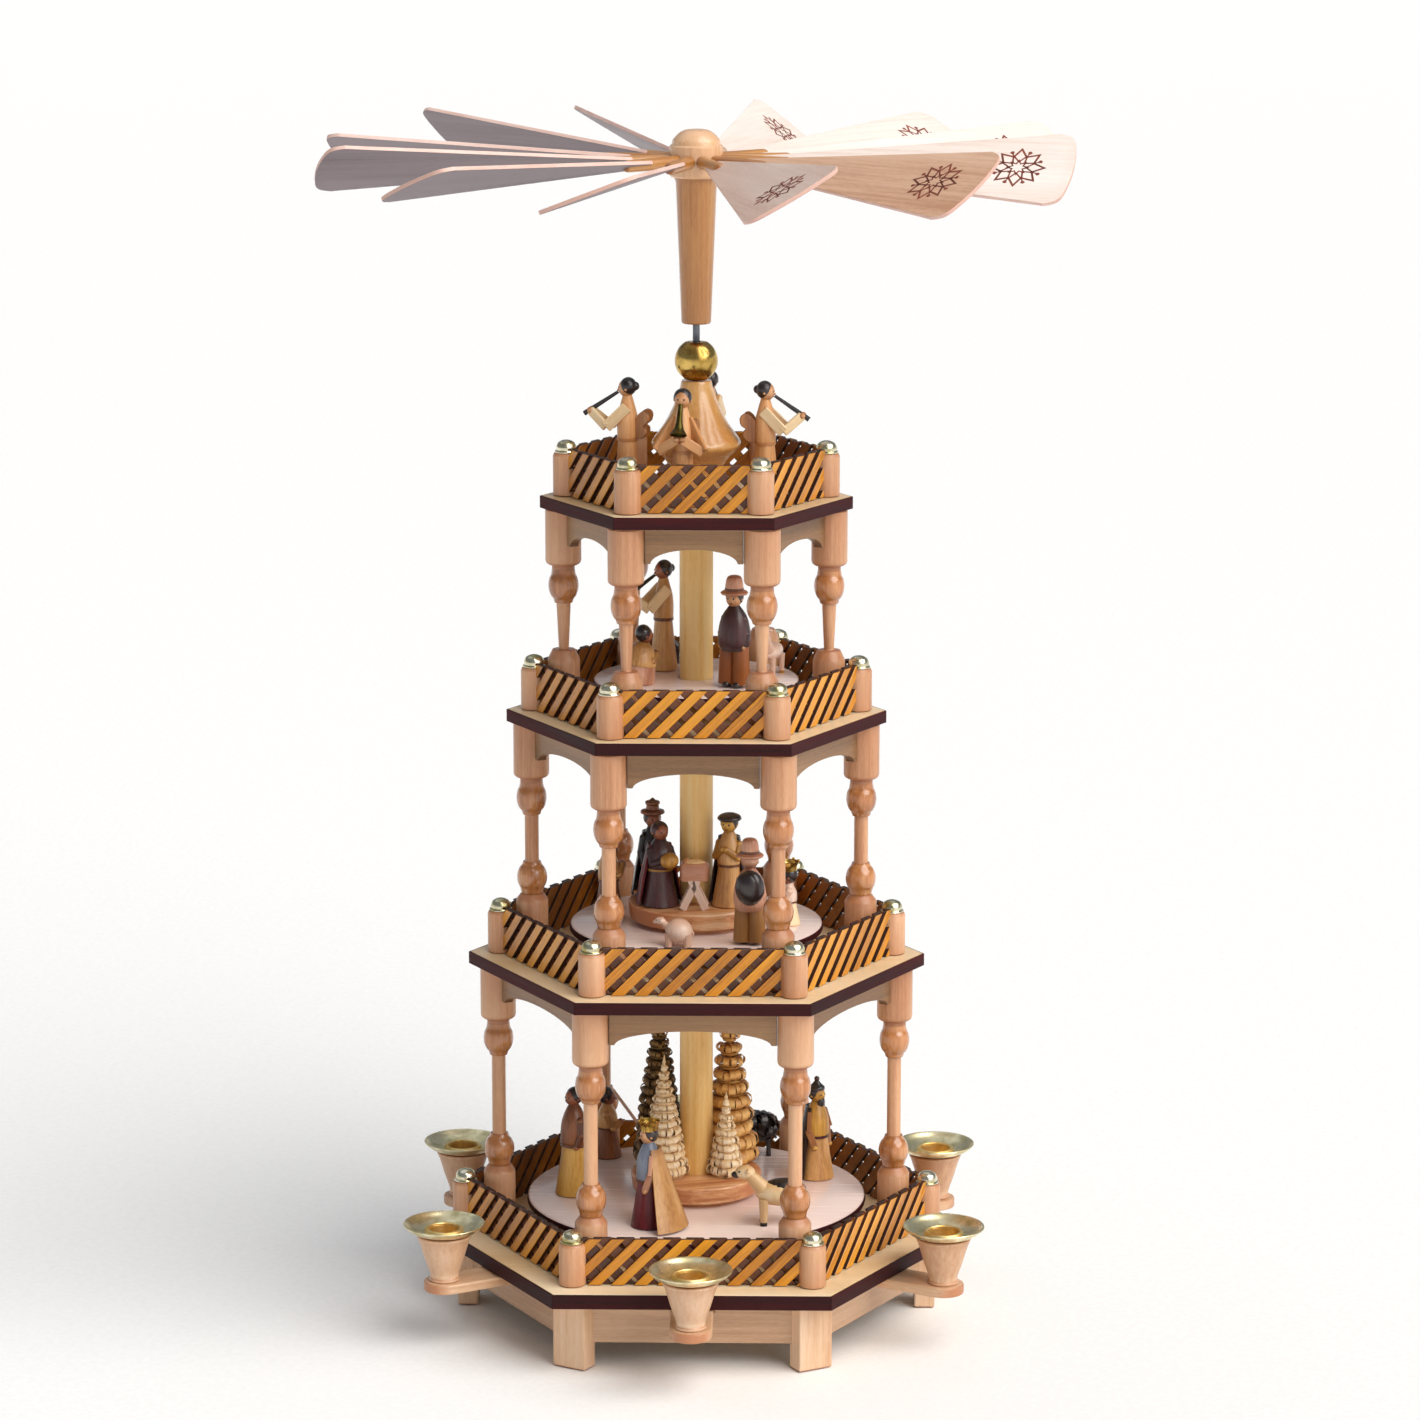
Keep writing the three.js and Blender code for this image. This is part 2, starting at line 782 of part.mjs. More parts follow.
// Figures stand in from the disc's edge by a share of a figure's height.
function turntable1() {
  const inFrom = (share) => turntable1Radius - share * figureHeight;
  const treeReach = 0.6 * block1Radius;
  return turntable(0, turntable1Radius, block1Radius, 24, [
    placed(figure({ girth: 0.2, hat: 0.085 }), inFrom(0.36), 255, 200, 0),
    placed(figure({ girth: 0.19 }), inFrom(0.43), 185, 150, 0),
    placed(figure({ height: 0.81, girth: 0.17 }), inFrom(0.3), 124, 60, 0),
    placed(figure({ girth: 0.17, hat: 0.13 }), inFrom(0.4), 19, 300, 0),
    placed(kneelingFigure(), inFrom(0.34), 308, 120, 0),
    placed(animal(0.28), inFrom(0.23), 330, 240, 0),
    placed(animal(0.4, 0.6), inFrom(0.32), 72, 170, 0),
    placed(shavedTree(0.71, 0.16), treeReach, 217, 0, blockTop),
    placed(shavedTree(0.52, 0.14), treeReach, 322, 0, blockTop),
    placed(shavedTree(1, 0.16), treeReach, 138, 0, blockTop),
    placed(shavedTree(1, 0.16), treeReach, 47, 0, blockTop),
  ]);
}

function turntable2() {
  const inFrom = (share) => turntable2Radius - share * figureHeight;
  const near = 0.66 * block2Radius;
  return turntable(1, turntable2Radius, block2Radius, 24, [
    placed(figure({ height: 0.81, girth: 0.17 }), near, 205, 300, blockTop),
    placed(figure({ height: 0.98, girth: 0.17, hat: 0.1 }), 0.9 * block2Radius, 148, 300, blockTop),
    placed(figure({ height: 0.91, girth: 0.17 }), near, 325, 230, blockTop),
    placed(manger(), 0.6 * block2Radius, 272, 90, blockTop),
    placed(kneelingFigure(), inFrom(0.25), 300, 110, 0),
    placed(figure({ height: 0.94, girth: 0.16 }), inFrom(0.19), 350, 180, 0),
    placed(figure({ height: 0.85, girth: 0.16 }), inFrom(0.21), 188, 20, 0),
    placed(animal(0.23), inFrom(0.19), 266, 165, 0),
  ]);
}

function turntable3() {
  const inFrom = (share) => turntable3Radius - share * figureHeight;
  return turntable(2, turntable3Radius, 0, 20, [
    placed(figure({ girth: 0.14 }), inFrom(0.47), 137, 250, 0),
    placed(figure({ girth: 0.17, hat: 0.1 }), inFrom(0.28), 299, 90, 0),
    placed(kneelingFigure(), inFrom(0.36), 208, 20, 0),
    placed(animal(0.32, 0.4), inFrom(0.26), 10, 250, 0),
    placed(animal(0.19), inFrom(0.23), 100, 200, 0),
  ]);
}

// The top deck carries four winged musicians round the spire.
function topDeck() {
  const size = angelHeight;
  const angelReach = (spireRadius + tiers[3].postReach * apothemRatio) / 2 - 0.08 * size;
  const angels = [260, 350, 80, 170].map((azimuth) => {
    const wings = new THREE.BoxGeometry(0.06 * size, 0.3 * size, 0.24 * size);
    wings.translate(-0.1 * size, 0, 0.66 * size);
    const horn = new THREE.CylinderGeometry(0.02 * size, 0.04 * size, 0.3 * size, 5);
    horn.rotateZ(Math.PI / 2 - 0.7).rotateX(Math.PI / 2).translate(0.16 * size, 0, 0.72 * size);
    const angel = join(figure({ girth: 0.15, size }), wings, horn);
    return placed(angel, angelReach, azimuth, azimuth, deck4Top);
  });
  return join(deck(3, spindleWireRadius + runningGap), ...angels);
}

function base() {
  const group = new THREE.Group();
  group.add(piece("base_frame", baseFrame(), beech));
  group.add(piece("base_plate", basePlate(), paleMaple));
  group.add(piece("bearing_cup", bearingCup(), brass));
  const armTop = legHeight - seat;
  for (let i = 0; i < sides; i++) {
    const angle = (i + 0.5) * sideTurn;
    group.add(piece(`candle_arm_${i + 1}`, candleArm(), beech, { z: armTop, turn: angle }));
    const panPlace = aroundAxis(candleReach, angle, armTop + cupHeight + seat);
    group.add(piece(`drip_pan_${i + 1}`, dripPan(), brass, panPlace));
  }
  return group;
}

function storey(index) {
  const group = new THREE.Group();
  const { floor, reach } = storeys[index];
  for (let i = 0; i < sides; i++) {
    const place = aroundAxis(reach, i * sideTurn, floor + seat);
    group.add(piece(`column_${index + 1}_${i + 1}`, column(storeys[index]), beech, place));
  }
  return group;
}

function tower() {
  const group = new THREE.Group();
  group.add(piece("deck_2", deck(1, shaftRadius + runningGap), paleMaple));
  group.add(piece("deck_3", deck(2, shaftRadius + runningGap), paleMaple));
  group.add(piece("deck_4", topDeck(), paleMaple));
  tiers.forEach((_, i) => group.add(piece(`railing_${i + 1}`, railing(i), honeyPine)));
  storeys.forEach((_, i) => group.add(storey(i)));
  group.add(piece("spire", spire(), honeyPine));
  group.add(piece("brass_ball", brassBall(), brass));
  return group;
}

function rotor() {
  const group = new THREE.Group();
  group.add(piece("shaft", shaft(), honeyPine));
  group.add(piece("turntable_1", turntable1(), lacquer));
  group.add(piece("turntable_2", turntable2(), lacquer));
  group.add(piece("turntable_3", turntable3(), lacquer));
  group.add(piece("spindle_wire", spindleWire(), steel));
  group.add(piece("wheel_hub", wheelHub(), honeyPine, { z: stemFoot }));
  paddleAngles().forEach((angle, i) => {
    const geometry = paddle(paddlePitches[i % paddlePitches.length]);
    group.add(piece(`paddle_${i + 1}`, geometry, paleMaple, { z: paddleLevel, turn: angle }));
  });
  return group;
}

const pyramid = new THREE.Group();
pyramid.add(base(), tower(), rotor());
export default pyramid;
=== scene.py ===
import json
import math
import random

import bmesh
import bpy
from mathutils import Matrix, Vector
from mathutils.geometry import interpolate_bezier


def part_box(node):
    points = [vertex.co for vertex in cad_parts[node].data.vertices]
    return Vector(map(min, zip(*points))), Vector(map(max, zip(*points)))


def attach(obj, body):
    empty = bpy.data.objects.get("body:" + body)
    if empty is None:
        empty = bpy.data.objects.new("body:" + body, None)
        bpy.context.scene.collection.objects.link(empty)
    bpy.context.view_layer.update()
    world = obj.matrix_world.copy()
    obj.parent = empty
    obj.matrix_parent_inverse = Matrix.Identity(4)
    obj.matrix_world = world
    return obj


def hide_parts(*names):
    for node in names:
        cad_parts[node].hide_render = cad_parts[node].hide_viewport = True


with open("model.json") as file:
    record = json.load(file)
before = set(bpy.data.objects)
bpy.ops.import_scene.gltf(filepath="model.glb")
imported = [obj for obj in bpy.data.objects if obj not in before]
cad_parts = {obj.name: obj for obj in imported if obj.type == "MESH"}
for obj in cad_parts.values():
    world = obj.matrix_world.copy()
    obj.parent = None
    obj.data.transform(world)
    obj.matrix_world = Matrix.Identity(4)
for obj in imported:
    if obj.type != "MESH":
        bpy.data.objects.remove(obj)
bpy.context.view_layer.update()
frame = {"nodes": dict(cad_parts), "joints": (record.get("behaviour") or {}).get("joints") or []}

print("frame loaded:", len(frame["nodes"]), "nodes")

# Shapes are drawn in millimetres, angles are in degrees, and a mesh is made in metres
mm = 0.001
sides = 6
flatRatio = math.cos(math.pi / sides)  # a side's distance from the axis over a corner's
seat = 0.3  # the glue gap between a piece and what it stands on
flatSharp = 20  # sawn boards keep every edge steeper than this


def sin(angle):
    return math.sin(math.radians(angle))


def cos(angle):
    return math.cos(math.radians(angle))


def metres(*values):
    return tuple(value * mm for value in values)


def shift(x=0, y=0, z=0):
    return Matrix.Translation(metres(x, y, z))


def turn(angle, axis="Z"):
    return Matrix.Rotation(math.radians(angle), 4, axis)


def around(angle, reach=0, z=0):
    return turn(angle) @ shift(reach, 0, z)


# Takes a board drawn flat to a side of the tower: its length across, its height up, its face outwards
upright = Matrix(((0, 0, 1, 0), (1, 0, 0, 0), (0, 1, 0, 0), (0, 0, 0, 1)))


def corners(node):
    low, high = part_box(node)
    return low / mm, high / mm


def smooth(points, steps=5):
    # A point that ends in "round" is passed in a curve, the others are sharp
    spots = [Vector((point[0], 0, point[1])) for point in points]
    soft = [len(point) == 3 for point in points]
    last = len(points) - 1

    def handle(i, way):
        if not soft[i]:
            return spots[i].lerp(spots[i + way], 1 / 3)
        if i in (0, last):
            along = Vector((1 if i == 0 else -1, 0, 0))
        else:
            along = (spots[i + 1] - spots[i - 1]).normalized()
        return spots[i] + along * way * (spots[i + way] - spots[i]).length / 3

    line = []
    for i in range(last):
        if soft[i] or soft[i + 1]:
            curve = interpolate_bezier(spots[i], handle(i, 1), handle(i + 1, -1), spots[i + 1], steps + 1)
            line += curve[:-1]
        else:
            line.append(spots[i])
    line.append(spots[last])
    return [(spot.x, spot.z) for spot in line]


def turned(points, segments=40, steps=5):
    # (radius, height) from the foot, up the outside, to the top
    bm = bmesh.new()
    line = [bm.verts.new(metres(radius, 0, height)) for radius, height in smooth(points, steps)]
    edges = [bm.edges.new(pair) for pair in zip(line, line[1:])]
    bmesh.ops.spin(bm, geom=line + edges, axis=(0, 0, 1), cent=(0, 0, 0), angle=math.tau, steps=segments,
        use_merge=True)
    bmesh.ops.remove_doubles(bm, verts=bm.verts, dist=1e-6)
    bmesh.ops.recalc_face_normals(bm, faces=bm.faces)
    return bm


def easeEdges(bm, width, segments=2):
    bmesh.ops.recalc_face_normals(bm, faces=bm.faces)
    sharp = [edge for edge in bm.edges if edge.is_manifold and edge.calc_face_angle() > math.radians(28)]
    bmesh.ops.bevel(bm, geom=sharp, offset=width * mm, segments=segments, profile=0.5, affect="EDGES",
        clamp_overlap=True, material=-1)
    return bm


def thicken(bm, thickness):
    raised = bmesh.ops.extrude_face_region(bm, geom=bm.faces[:])["geom"]
    top = [item for item in raised if isinstance(item, bmesh.types.BMVert)]
    bmesh.ops.translate(bm, verts=top, vec=metres(0, 0, thickness))


def rectangle(x, y):
    return [(-x, -y), (x, -y), (x, y), (-x, y)]


def board(outline, thickness, edge=0.4, hole=0, mitre=0):
    bm = bmesh.new()
    rim = [bm.verts.new(metres(x, y, 0)) for x, y in outline]
    if hole:
        for pair in zip(rim, rim[1:] + rim[:1]):
            bm.edges.new(pair)
        bmesh.ops.create_circle(bm, segments=40, radius=hole * mm)
        bmesh.ops.triangle_fill(bm, use_beauty=True, edges=bm.edges[:])
    else:
        bm.faces.new(rim)
    thicken(bm, thickness)
    end = max(vert.co.x for vert in bm.verts) - 1e-5
    for vert in bm.verts:  # a mitred board is shorter on its inner face
        if mitre and abs(vert.co.x) > end and vert.co.z < 1e-5:
            vert.co.x -= math.copysign(mitre * mm, vert.co.x)
    return easeEdges(bm, edge)


def shaped(bm, fibre=(0, 0, 1), sharp=33):
    # "grain" is the place in the wood with X along its fibres, and "endGrain" how far they are cut across
    bm.normal_update()
    grain = bm.verts.layers.float_vector.new("grain")
    endGrain = bm.verts.layers.float.new("endGrain")
    along = Vector(fibre).normalized()
    across = along.to_track_quat("X", "Z").to_matrix().inverted()
    for vert in bm.verts:
        vert[grain] = across @ vert.co
        vert[endGrain] = abs(vert.normal.dot(along))
    for face in bm.faces:
        face.smooth = True
    mesh = bpy.data.meshes.new("part")
    bm.to_mesh(mesh)
    bm.free()
    mesh.set_sharp_from_angle(angle=math.radians(sharp))
    return mesh


def lathe(points, segments=40, steps=5):
    return shaped(turned(points, segments, steps))


def sawn(outline, thickness, edge, fibre=(1, 0, 0), hole=0, mitre=0):
    return shaped(board(outline, thickness, edge, hole, mitre), fibre, flatSharp)


def makePiece(name, parts, body, replaced=()):
    # Each part is (mesh, place, finish), and gets its own stretch of the wood. Three finishes are for
    # the faces that look up, down and sideways where the part was drawn
    dice = random.Random(name)
    whole = bmesh.new()
    used = []
    for mesh, place, finish in parts:
        firstVert, firstFace = len(whole.verts), len(whole.faces)
        whole.from_mesh(mesh)
        whole.verts.ensure_lookup_table()
        whole.faces.ensure_lookup_table()
        fresh = whole.verts[firstVert:]
        bmesh.ops.transform(whole, matrix=place, verts=fresh)
        grain = whole.verts.layers.float_vector["grain"]
        away = Vector((dice.uniform(-20, 20), 0, 0))
        for vert in fresh:
            vert[grain] = vert[grain] + away
        for face, drawn in zip(whole.faces[firstFace:], mesh.polygons):
            key = finish
            if not isinstance(finish, str):
                key = finish[0 if drawn.normal.z > 0.7 else 1 if drawn.normal.z < -0.7 else 2]
            if key not in used:
                used.append(key)
            face.material_index = used.index(key)
    mesh = bpy.data.meshes.new(name)
    whole.to_mesh(mesh)
    whole.free()
    for finish in used:
        mesh.materials.append(finishes[finish])
    piece = bpy.data.objects.new(name, mesh)
    bpy.context.scene.collection.objects.link(piece)
    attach(piece, body)
    if replaced:
        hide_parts(*replaced)
    return piece


def moved(parts, place):
    return [(mesh, place @ own, finish) for mesh, own, finish in parts]


def linear(colour):
    channels = [int(colour[i:i + 2], 16) / 255 for i in (1, 3, 5)]
    return tuple(c / 12.92 if c <= 0.04045 else ((c + 0.055) / 1.055) ** 2.4 for c in channels) + (1,)


def addNode(tree, kind, settings=None, links=None):
    node = tree.nodes.new("ShaderNode" + kind)
    for key, value in (settings or {}).items():
        if key == "stops":
            for i, (position, colour) in enumerate(value):
                stop = node.color_ramp.elements[i] if i < 2 else node.color_ramp.elements.new(position)
                stop.position = position
                stop.color = linear(colour)
        elif isinstance(key, int) or key in node.inputs:
            node.inputs[key].default_value = value
        else:
            setattr(node, key, value)
    for key, source in (links or {}).items():
        tree.links.new(source, node.inputs[key])
    return node


finishes = {}


def newFinish(key, title, roughness, coat=0.0, metallic=0.0):
    material = bpy.data.materials.new(title)
    material.use_nodes = True
    shader = material.node_tree.nodes["Principled BSDF"]
    shader.inputs["Roughness"].default_value = roughness
    shader.inputs["Metallic"].default_value = metallic
    shader.inputs["Coat Weight"].default_value = coat
    shader.inputs["Coat Roughness"].default_value = 0.2
    finishes[key] = material
    return material.node_tree, shader


def dress(tree, shader, colour, spots, roughest, smoothest, height, strength, depth):
    # The colour, a roughness that follows the spots, and a relief of that depth in mm
    rough = addNode(tree, "MapRange",
        {"From Min": 0.3, "From Max": 0.7, "To Min": roughest, "To Max": smoothest}, {"Value": spots})
    relief = addNode(tree, "Bump", {"Strength": strength, "Distance": depth * mm}, {"Height": height})
    tree.links.new(colour, shader.inputs["Base Color"])
    tree.links.new(rough.outputs[0], shader.inputs["Roughness"])
    tree.links.new(relief.outputs[0], shader.inputs["Normal"])


woodLook = {
    # Each pattern's length along the fibres in mm. Real pores are 0.1 mm wide: here 0.5 mm, so that they show
    "bandLength": 260, "lineLength": 60, "poreLength": 4, "poreWidth": 0.5,
    "bandShare": 0.55, "lineShare": 0.32, "poreShare": 0.13, "spread": 0.13,
    "cutStart": 0.12, "cutEnd": 0.75, "bump": 0.35, "bumpDepth": 0.12,
}


def wood(key, title, tones, gloss=0.42, coat=0.25, streak=2.0, tone=28, contrast=1.0, specular=0.5):
    # streak and tone are the widths in mm of the fine lines and of the broad bands across the fibres
    look = woodLook
    pale, middle, deep, cross = tones.split()
    tree, shader = newFinish(key, title, gloss, coat)
    shader.inputs["Specular IOR Level"].default_value = specular
    grain = addNode(tree, "Attribute", {"attribute_name": "grain"}).outputs["Vector"]
    endGrain = addNode(tree, "Attribute", {"attribute_name": "endGrain"}).outputs["Fac"]
    layers = []
    for length, width, detail, roughness in (
            (look["bandLength"], tone, 2, 0.5), (look["lineLength"], streak, 3, 0.6),
            (look["poreLength"], look["poreWidth"], 1, 0.5)):
        scale = (1 / (length * mm), 1 / (width * mm), 1 / (width * mm))
        place = addNode(tree, "Mapping", {"Scale": scale}, {"Vector": grain})
        noise = addNode(tree, "TexNoise", {"Scale": 1.0, "Detail": detail, "Roughness": roughness},
            {"Vector": place.outputs[0]})
        layers.append(noise.outputs["Fac"])
    bands, lines, pores = layers
    fine = addNode(tree, "Math", {"operation": "MULTIPLY", 1: look["lineShare"]}, {0: lines})
    both = addNode(tree, "Math", {"operation": "MULTIPLY_ADD", 1: look["bandShare"]},
        {0: bands, 2: fine.outputs[0]})
    figure = addNode(tree, "Math", {"operation": "MULTIPLY_ADD", 1: look["poreShare"]},
        {0: pores, 2: both.outputs[0]})
    spread = look["spread"] / contrast
    colour = addNode(tree, "ValToRGB",
        {"stops": [(0.5 - spread, deep), (0.5 + spread, pale), (0.5, middle)]}, {"Fac": figure.outputs[0]})
    cut = addNode(tree, "MapRange", {"From Min": look["cutStart"], "From Max": look["cutEnd"]},
        {"Value": endGrain})
    mixed = addNode(tree, "Mix", {"data_type": "RGBA", 7: linear(cross)},
        {0: cut.outputs[0], 6: colour.outputs["Color"]})
    dress(tree, shader, mixed.outputs[2], lines, gloss - 0.07, gloss + 0.1, figure.outputs[0], look["bump"],
        look["bumpDepth"])


polished = {"gloss": 0.3, "coat": 0.5}
sanded = {"gloss": 0.4, "coat": 0.15}
dull = {"gloss": 0.6, "coat": 0.0}
carved = {"gloss": 0.4, "streak": 1.4}
# Each wood: what it is, its pale, middle and deep tones and its end grain, and where it isn't plain satin
woods = {
    # Beech, turned and clear lacquered: pale pinkish cream, redder where the beads cut across the fibres
    "beech": ("turned beech, satin lacquer", "#E6C8AA #D9B38F #C3946E #B87B53", {}),
    "postBeech": ("beech post, satin lacquer", "#DCAE88 #CD9A72 #B37B55 #A76B45", {}),
    # The aprons' beech, painted darker as painted shade under the base plate
    "beechPaintedShade": ("beech board, satin lacquer", "#D3B192 #C39E7D #A88160 #A07858", {}),
    # Maple plate faces: the palest wood, with hardly any figure. The arches under them are the same maple
    # painted darker, as painted shade under the deck's overhang
    "maple": ("maple plywood, satin lacquer", "#F3DFBE #EBD0A8 #DBB987 #CFA873",
              {"contrast": 0.8, "tone": 45}),
    "archWood": ("maple board, satin lacquer", "#9A7650 #88633F #6A492B #654529", {"tone": 22}),
    # Spruce shaft: yellow, with clear darker year lines along it
    "spruce": ("spruce rod, oiled", "#FFE9AE #FFDA92 #ECBB68 #DCA550",
               {"contrast": 1.3, "tone": 9, "coat": 0.1}),
    # Polished: honey brown pear for the stem and pegs, orange cherry for the spire, pale maple for the hub
    "honey": ("pear wood, polished", "#CB975A #BB8042 #9E622A #955A28", {**polished, "tone": 18}),
    "spireWood": ("cherry wood, polished", "#EBC283 #E0AD68 #C98C48 #C38543",
                  {"gloss": 0.24, "coat": 0.8, "contrast": 0.7, "tone": 22}),
    "hubWood": ("maple, polished", "#F3D3AE #E8C097 #D3A173 #DDB088",
                {**polished, "contrast": 0.8, "tone": 22}),
    # The egg beads of the columns are dipped in amber lacquer: darker and glossier than the posts
    "amberBead": ("beech bead, amber lacquer", "#CB8F5C #B87846 #955A2F #A46735",
                  {"gloss": 0.22, "coat": 0.9, "tone": 7}),
    "blockWood": ("beech block, satin lacquer", "#F0C496 #E2A672 #C07A4C #BC7548",
                  {"contrast": 1.5, "tone": 6}),
    # Slats of lime wood, dipped in golden stain. The inner layer, behind the outer one, is painted darker as
    # painted shade, brown on its outward face, and the sawn edges are painted nearly black as painted shade
    # in the holes
    "goldSlat": ("lime slat, golden stain", "#EFA521 #D98E10 #A66406 #80480A",
                 {"gloss": 0.38, "streak": 1.0}),
    "slatDeepPaintedShade": ("lime slat, golden stain, deep painted shade", "#7E3F0D #602D06 #3F1C03 #341703",
                  {"gloss": 0.4, "coat": 0.2, "streak": 1.0}),
    "slatPaintedShade": ("lime slat, golden stain, painted shade", "#C27A1A #A0600F #6C3B06 #4C2605",
                 {"gloss": 0.45, "coat": 0.1, "streak": 1.0}),
    "slatEdgePaintedShade": ("lime slat edge, painted shade", "#55290D #3E1D08 #291205 #2A1205", dull),
    # Hard glossy lacquer over fine plywood: lavender white, with the figure only just showing
    "lacquer": ("plywood disc, tinted gloss lacquer", "#FBEBE4 #F5DFD6 #E6CBC2 #E3C7BE",
                {"gloss": 0.2, "coat": 0.6, "contrast": 0.7, "tone": 50}),
    # Edge banding: dark maroon veneer that hardly shines
    "maroonEdge": ("edge veneer, maroon stain", "#4A1013 #350A0D #1E0507 #2A080A",
                   {**dull, "specular": 0.2}),
    # Birch blades: nearly white veneer, sanded and thinly lacquered. Two are of warmer heartwood
    "birch": ("birch veneer, thin lacquer", "#F6EAE2 #EFDED3 #E0C8BA #D9B9A6", sanded),
    "birchPink": ("birch veneer, pinkish", "#ECD3C4 #E2C2B1 #CDA793 #C49C88", sanded),
    "birchTan": ("birch veneer, warm heartwood", "#E6C0A3 #DAAE8E #BF8B68 #B68262", sanded),
    # Their undersides are painted mauve grey as painted shade, and their stars are burnt in
    "birchPaintedShadeUnder": ("birch veneer underside, painted shade", "#8F8286 #7F7277 #675A60 #766A6E",
                  {"gloss": 0.5, "coat": 0.0}),
    "birchEdge": ("birch veneer edge", "#F0D6CC #E4C2B6 #CFA698 #D2A99A", {"gloss": 0.5, "coat": 0.0}),
    "burnt": ("burnt birch", "#9A4E38 #85402C #6A2E1E #5C281A", {"gloss": 0.7, "coat": 0.0}),
    # Plain lime wood, and the thin matt shavings of the trees
    "cream": ("lime wood, natural", "#FFE9C4 #F7DCAE #E3BF8A #D9B07A", {"streak": 1.2, "tone": 10}),
    "shaving": ("lime shavings", "#FFF3DA #FAE4BF #E9CB9B #DDB986", {**dull, "streak": 1.0}),
    "goldShaving": ("pine shavings, golden", "#F6CC84 #E6B268 #C0863F #A87033",
                    {"gloss": 0.5, "coat": 0.1}),
    "oliveShaving": ("lime shavings, olive stain", "#A4824A #836334 #58401C #483414", dull),
    # Black stain lies thick and shines, and faces, hands and lambs are sanded finer
    "black": ("lime wood, black stain", "#3A2C2B #2A1F20 #181112 #171011", {"gloss": 0.32, "coat": 0.4}),
    "faceWood": ("lime wood, red brown stain", "#B3704C #9C5A39 #7E4328 #743C23", carved),
    "paleFace": ("lime wood, pale", "#E2AE80 #D39A6B #BC7F50 #B37748", carved),
    "lambWood": ("lime wood, pinkish white", "#F3DED0 #EACDBB #D8B39C #D0A88F", {"streak": 1.4, "tone": 9}),
}
# Stained woods of the carved figures: each keeps a little of its grain
stains = {
    "peach": ("peach", "#F4BC84 #E6A76B #C5854B #B67641"),
    "gold": ("golden", "#E6B45C #D09A3E #A67126 #96641F"),
    "pinkTan": ("pinkish tan", "#E3B394 #D0987A #B27659 #A66A4E"),
    "wingWood": ("tan brown", "#C58A55 #AE733F #865026 #7A4720"),
    "tan": ("tan", "#E3B477 #CE985A #A8733B #9A6833"),
    "brown": ("brown", "#A3683B #8A5029 #63341A #592E16"),
    "orange": ("orange", "#D88A45 #C1722F #96521C #8A4A19"),
    "plum": ("plum", "#5A3131 #452324 #2C1516 #291314"),
    "maroon": ("maroon", "#7D1F2A #65131D #430A11 #3B080F"),
    "grey": ("grey blue", "#9AA3B2 #818A9B #5E6676 #565E6E"),
}
for key, (title, tones, options) in woods.items():
    wood(key, title, tones, **options)
for key, (stain, tones) in stains.items():
    wood(key, f"lime wood, {stain} stain", tones, streak=1.2, tone=9)


def metal(key, title, bright, tarnish, roughness):
    # Spun and polished, so that fine rings run round the axis, under a thin uneven tarnish
    cloudSize, ringPitch = metres(6, 0.4)
    tree, shader = newFinish(key, title, roughness, metallic=1.0)
    grain = addNode(tree, "Attribute", {"attribute_name": "grain"}).outputs["Vector"]
    place = addNode(tree, "TexCoord").outputs["Object"]
    cloud = addNode(tree, "TexNoise", {"Scale": 1 / cloudSize, "Detail": 3.0},
        {"Vector": place}).outputs["Fac"]
    colour = addNode(tree, "ValToRGB", {"stops": [(0.32, tarnish), (0.62, bright)]}, {"Fac": cloud})
    sideways = addNode(tree, "VectorMath", {"operation": "MULTIPLY", 1: (0, 1, 1)}, {0: grain})
    reach = addNode(tree, "VectorMath", {"operation": "LENGTH"}, {0: sideways.outputs[0]})
    phase = addNode(tree, "Math", {"operation": "MULTIPLY", 1: math.tau / ringPitch},
        {0: reach.outputs["Value"]})
    rings = addNode(tree, "Math", {"operation": "SINE"}, {0: phase.outputs[0]})
    dress(tree, shader, colour.outputs["Color"], cloud, roughness + 0.12, roughness - 0.05, rings.outputs[0],
        0.12, 0.02)


# Brass is yellow and bright, paler where it is pressed from sheet; the wire is dark blue grey
metal("brass", "spun brass, lightly tarnished", "#D9B566", "#9C7B36", 0.2)
metal("panBrass", "pressed brass sheet, pale", "#F8EBC2", "#C6BA8C", 0.3)
metal("goldBrass", "ferrule, satin brass", "#FFE3A0", "#DDB768", 0.42)
metal("capBrass", "pressed cap, silvery brass", "#EFE8CF", "#A59C68", 0.2)
metal("hornBrass", "horn, olive lacquered brass", "#6E6230", "#3D3516", 0.3)
metal("steel", "drawn steel wire, blued", "#6B6E74", "#44474D", 0.3)
print("finishes ready:", len(finishes))

plateLook = {"thickness": 6, "edge": 0.25, "band": 0.8, "bandInset": 0.2, "shaftHole": 9.2, "wireHole": 2.9}
baseLook = {
    "legWidth": 17, "legDepth": 9.5, "legInset": 13.5, "legEdge": 0.9,
    "apronInset": 13.7, "apronThickness": 6, "apronDepth": 19.7, "notchWidth": 19.6, "notchDepth": 5.2,
}


def hexagon(reach):
    return [(reach * cos(60 * i), reach * sin(60 * i)) for i in range(sides)]


def plateParts(reach, thickness, top, hole=0):
    # A plate with maple faces and a veneer band glued round its edge
    band, inset = plateLook["band"], plateLook["bandInset"]
    inner = reach - band / flatRatio
    core = sawn(hexagon(inner), thickness, plateLook["edge"], hole=hole)
    half, innerHalf = reach / 2, inner / 2
    flat = reach * flatRatio
    strip = [(flat - band, -innerHalf), (flat, -half), (flat, half), (flat - band, innerHalf)]
    edging = sawn(strip, thickness - 2 * inset, 0.2, (0, 1, 0))
    parts = [(core, shift(z=top - thickness), "maple")]
    for i in range(sides):
        parts.append((edging, turn(60 * i + 30) @ shift(z=top - thickness + inset), "maroonEdge"))
    return parts


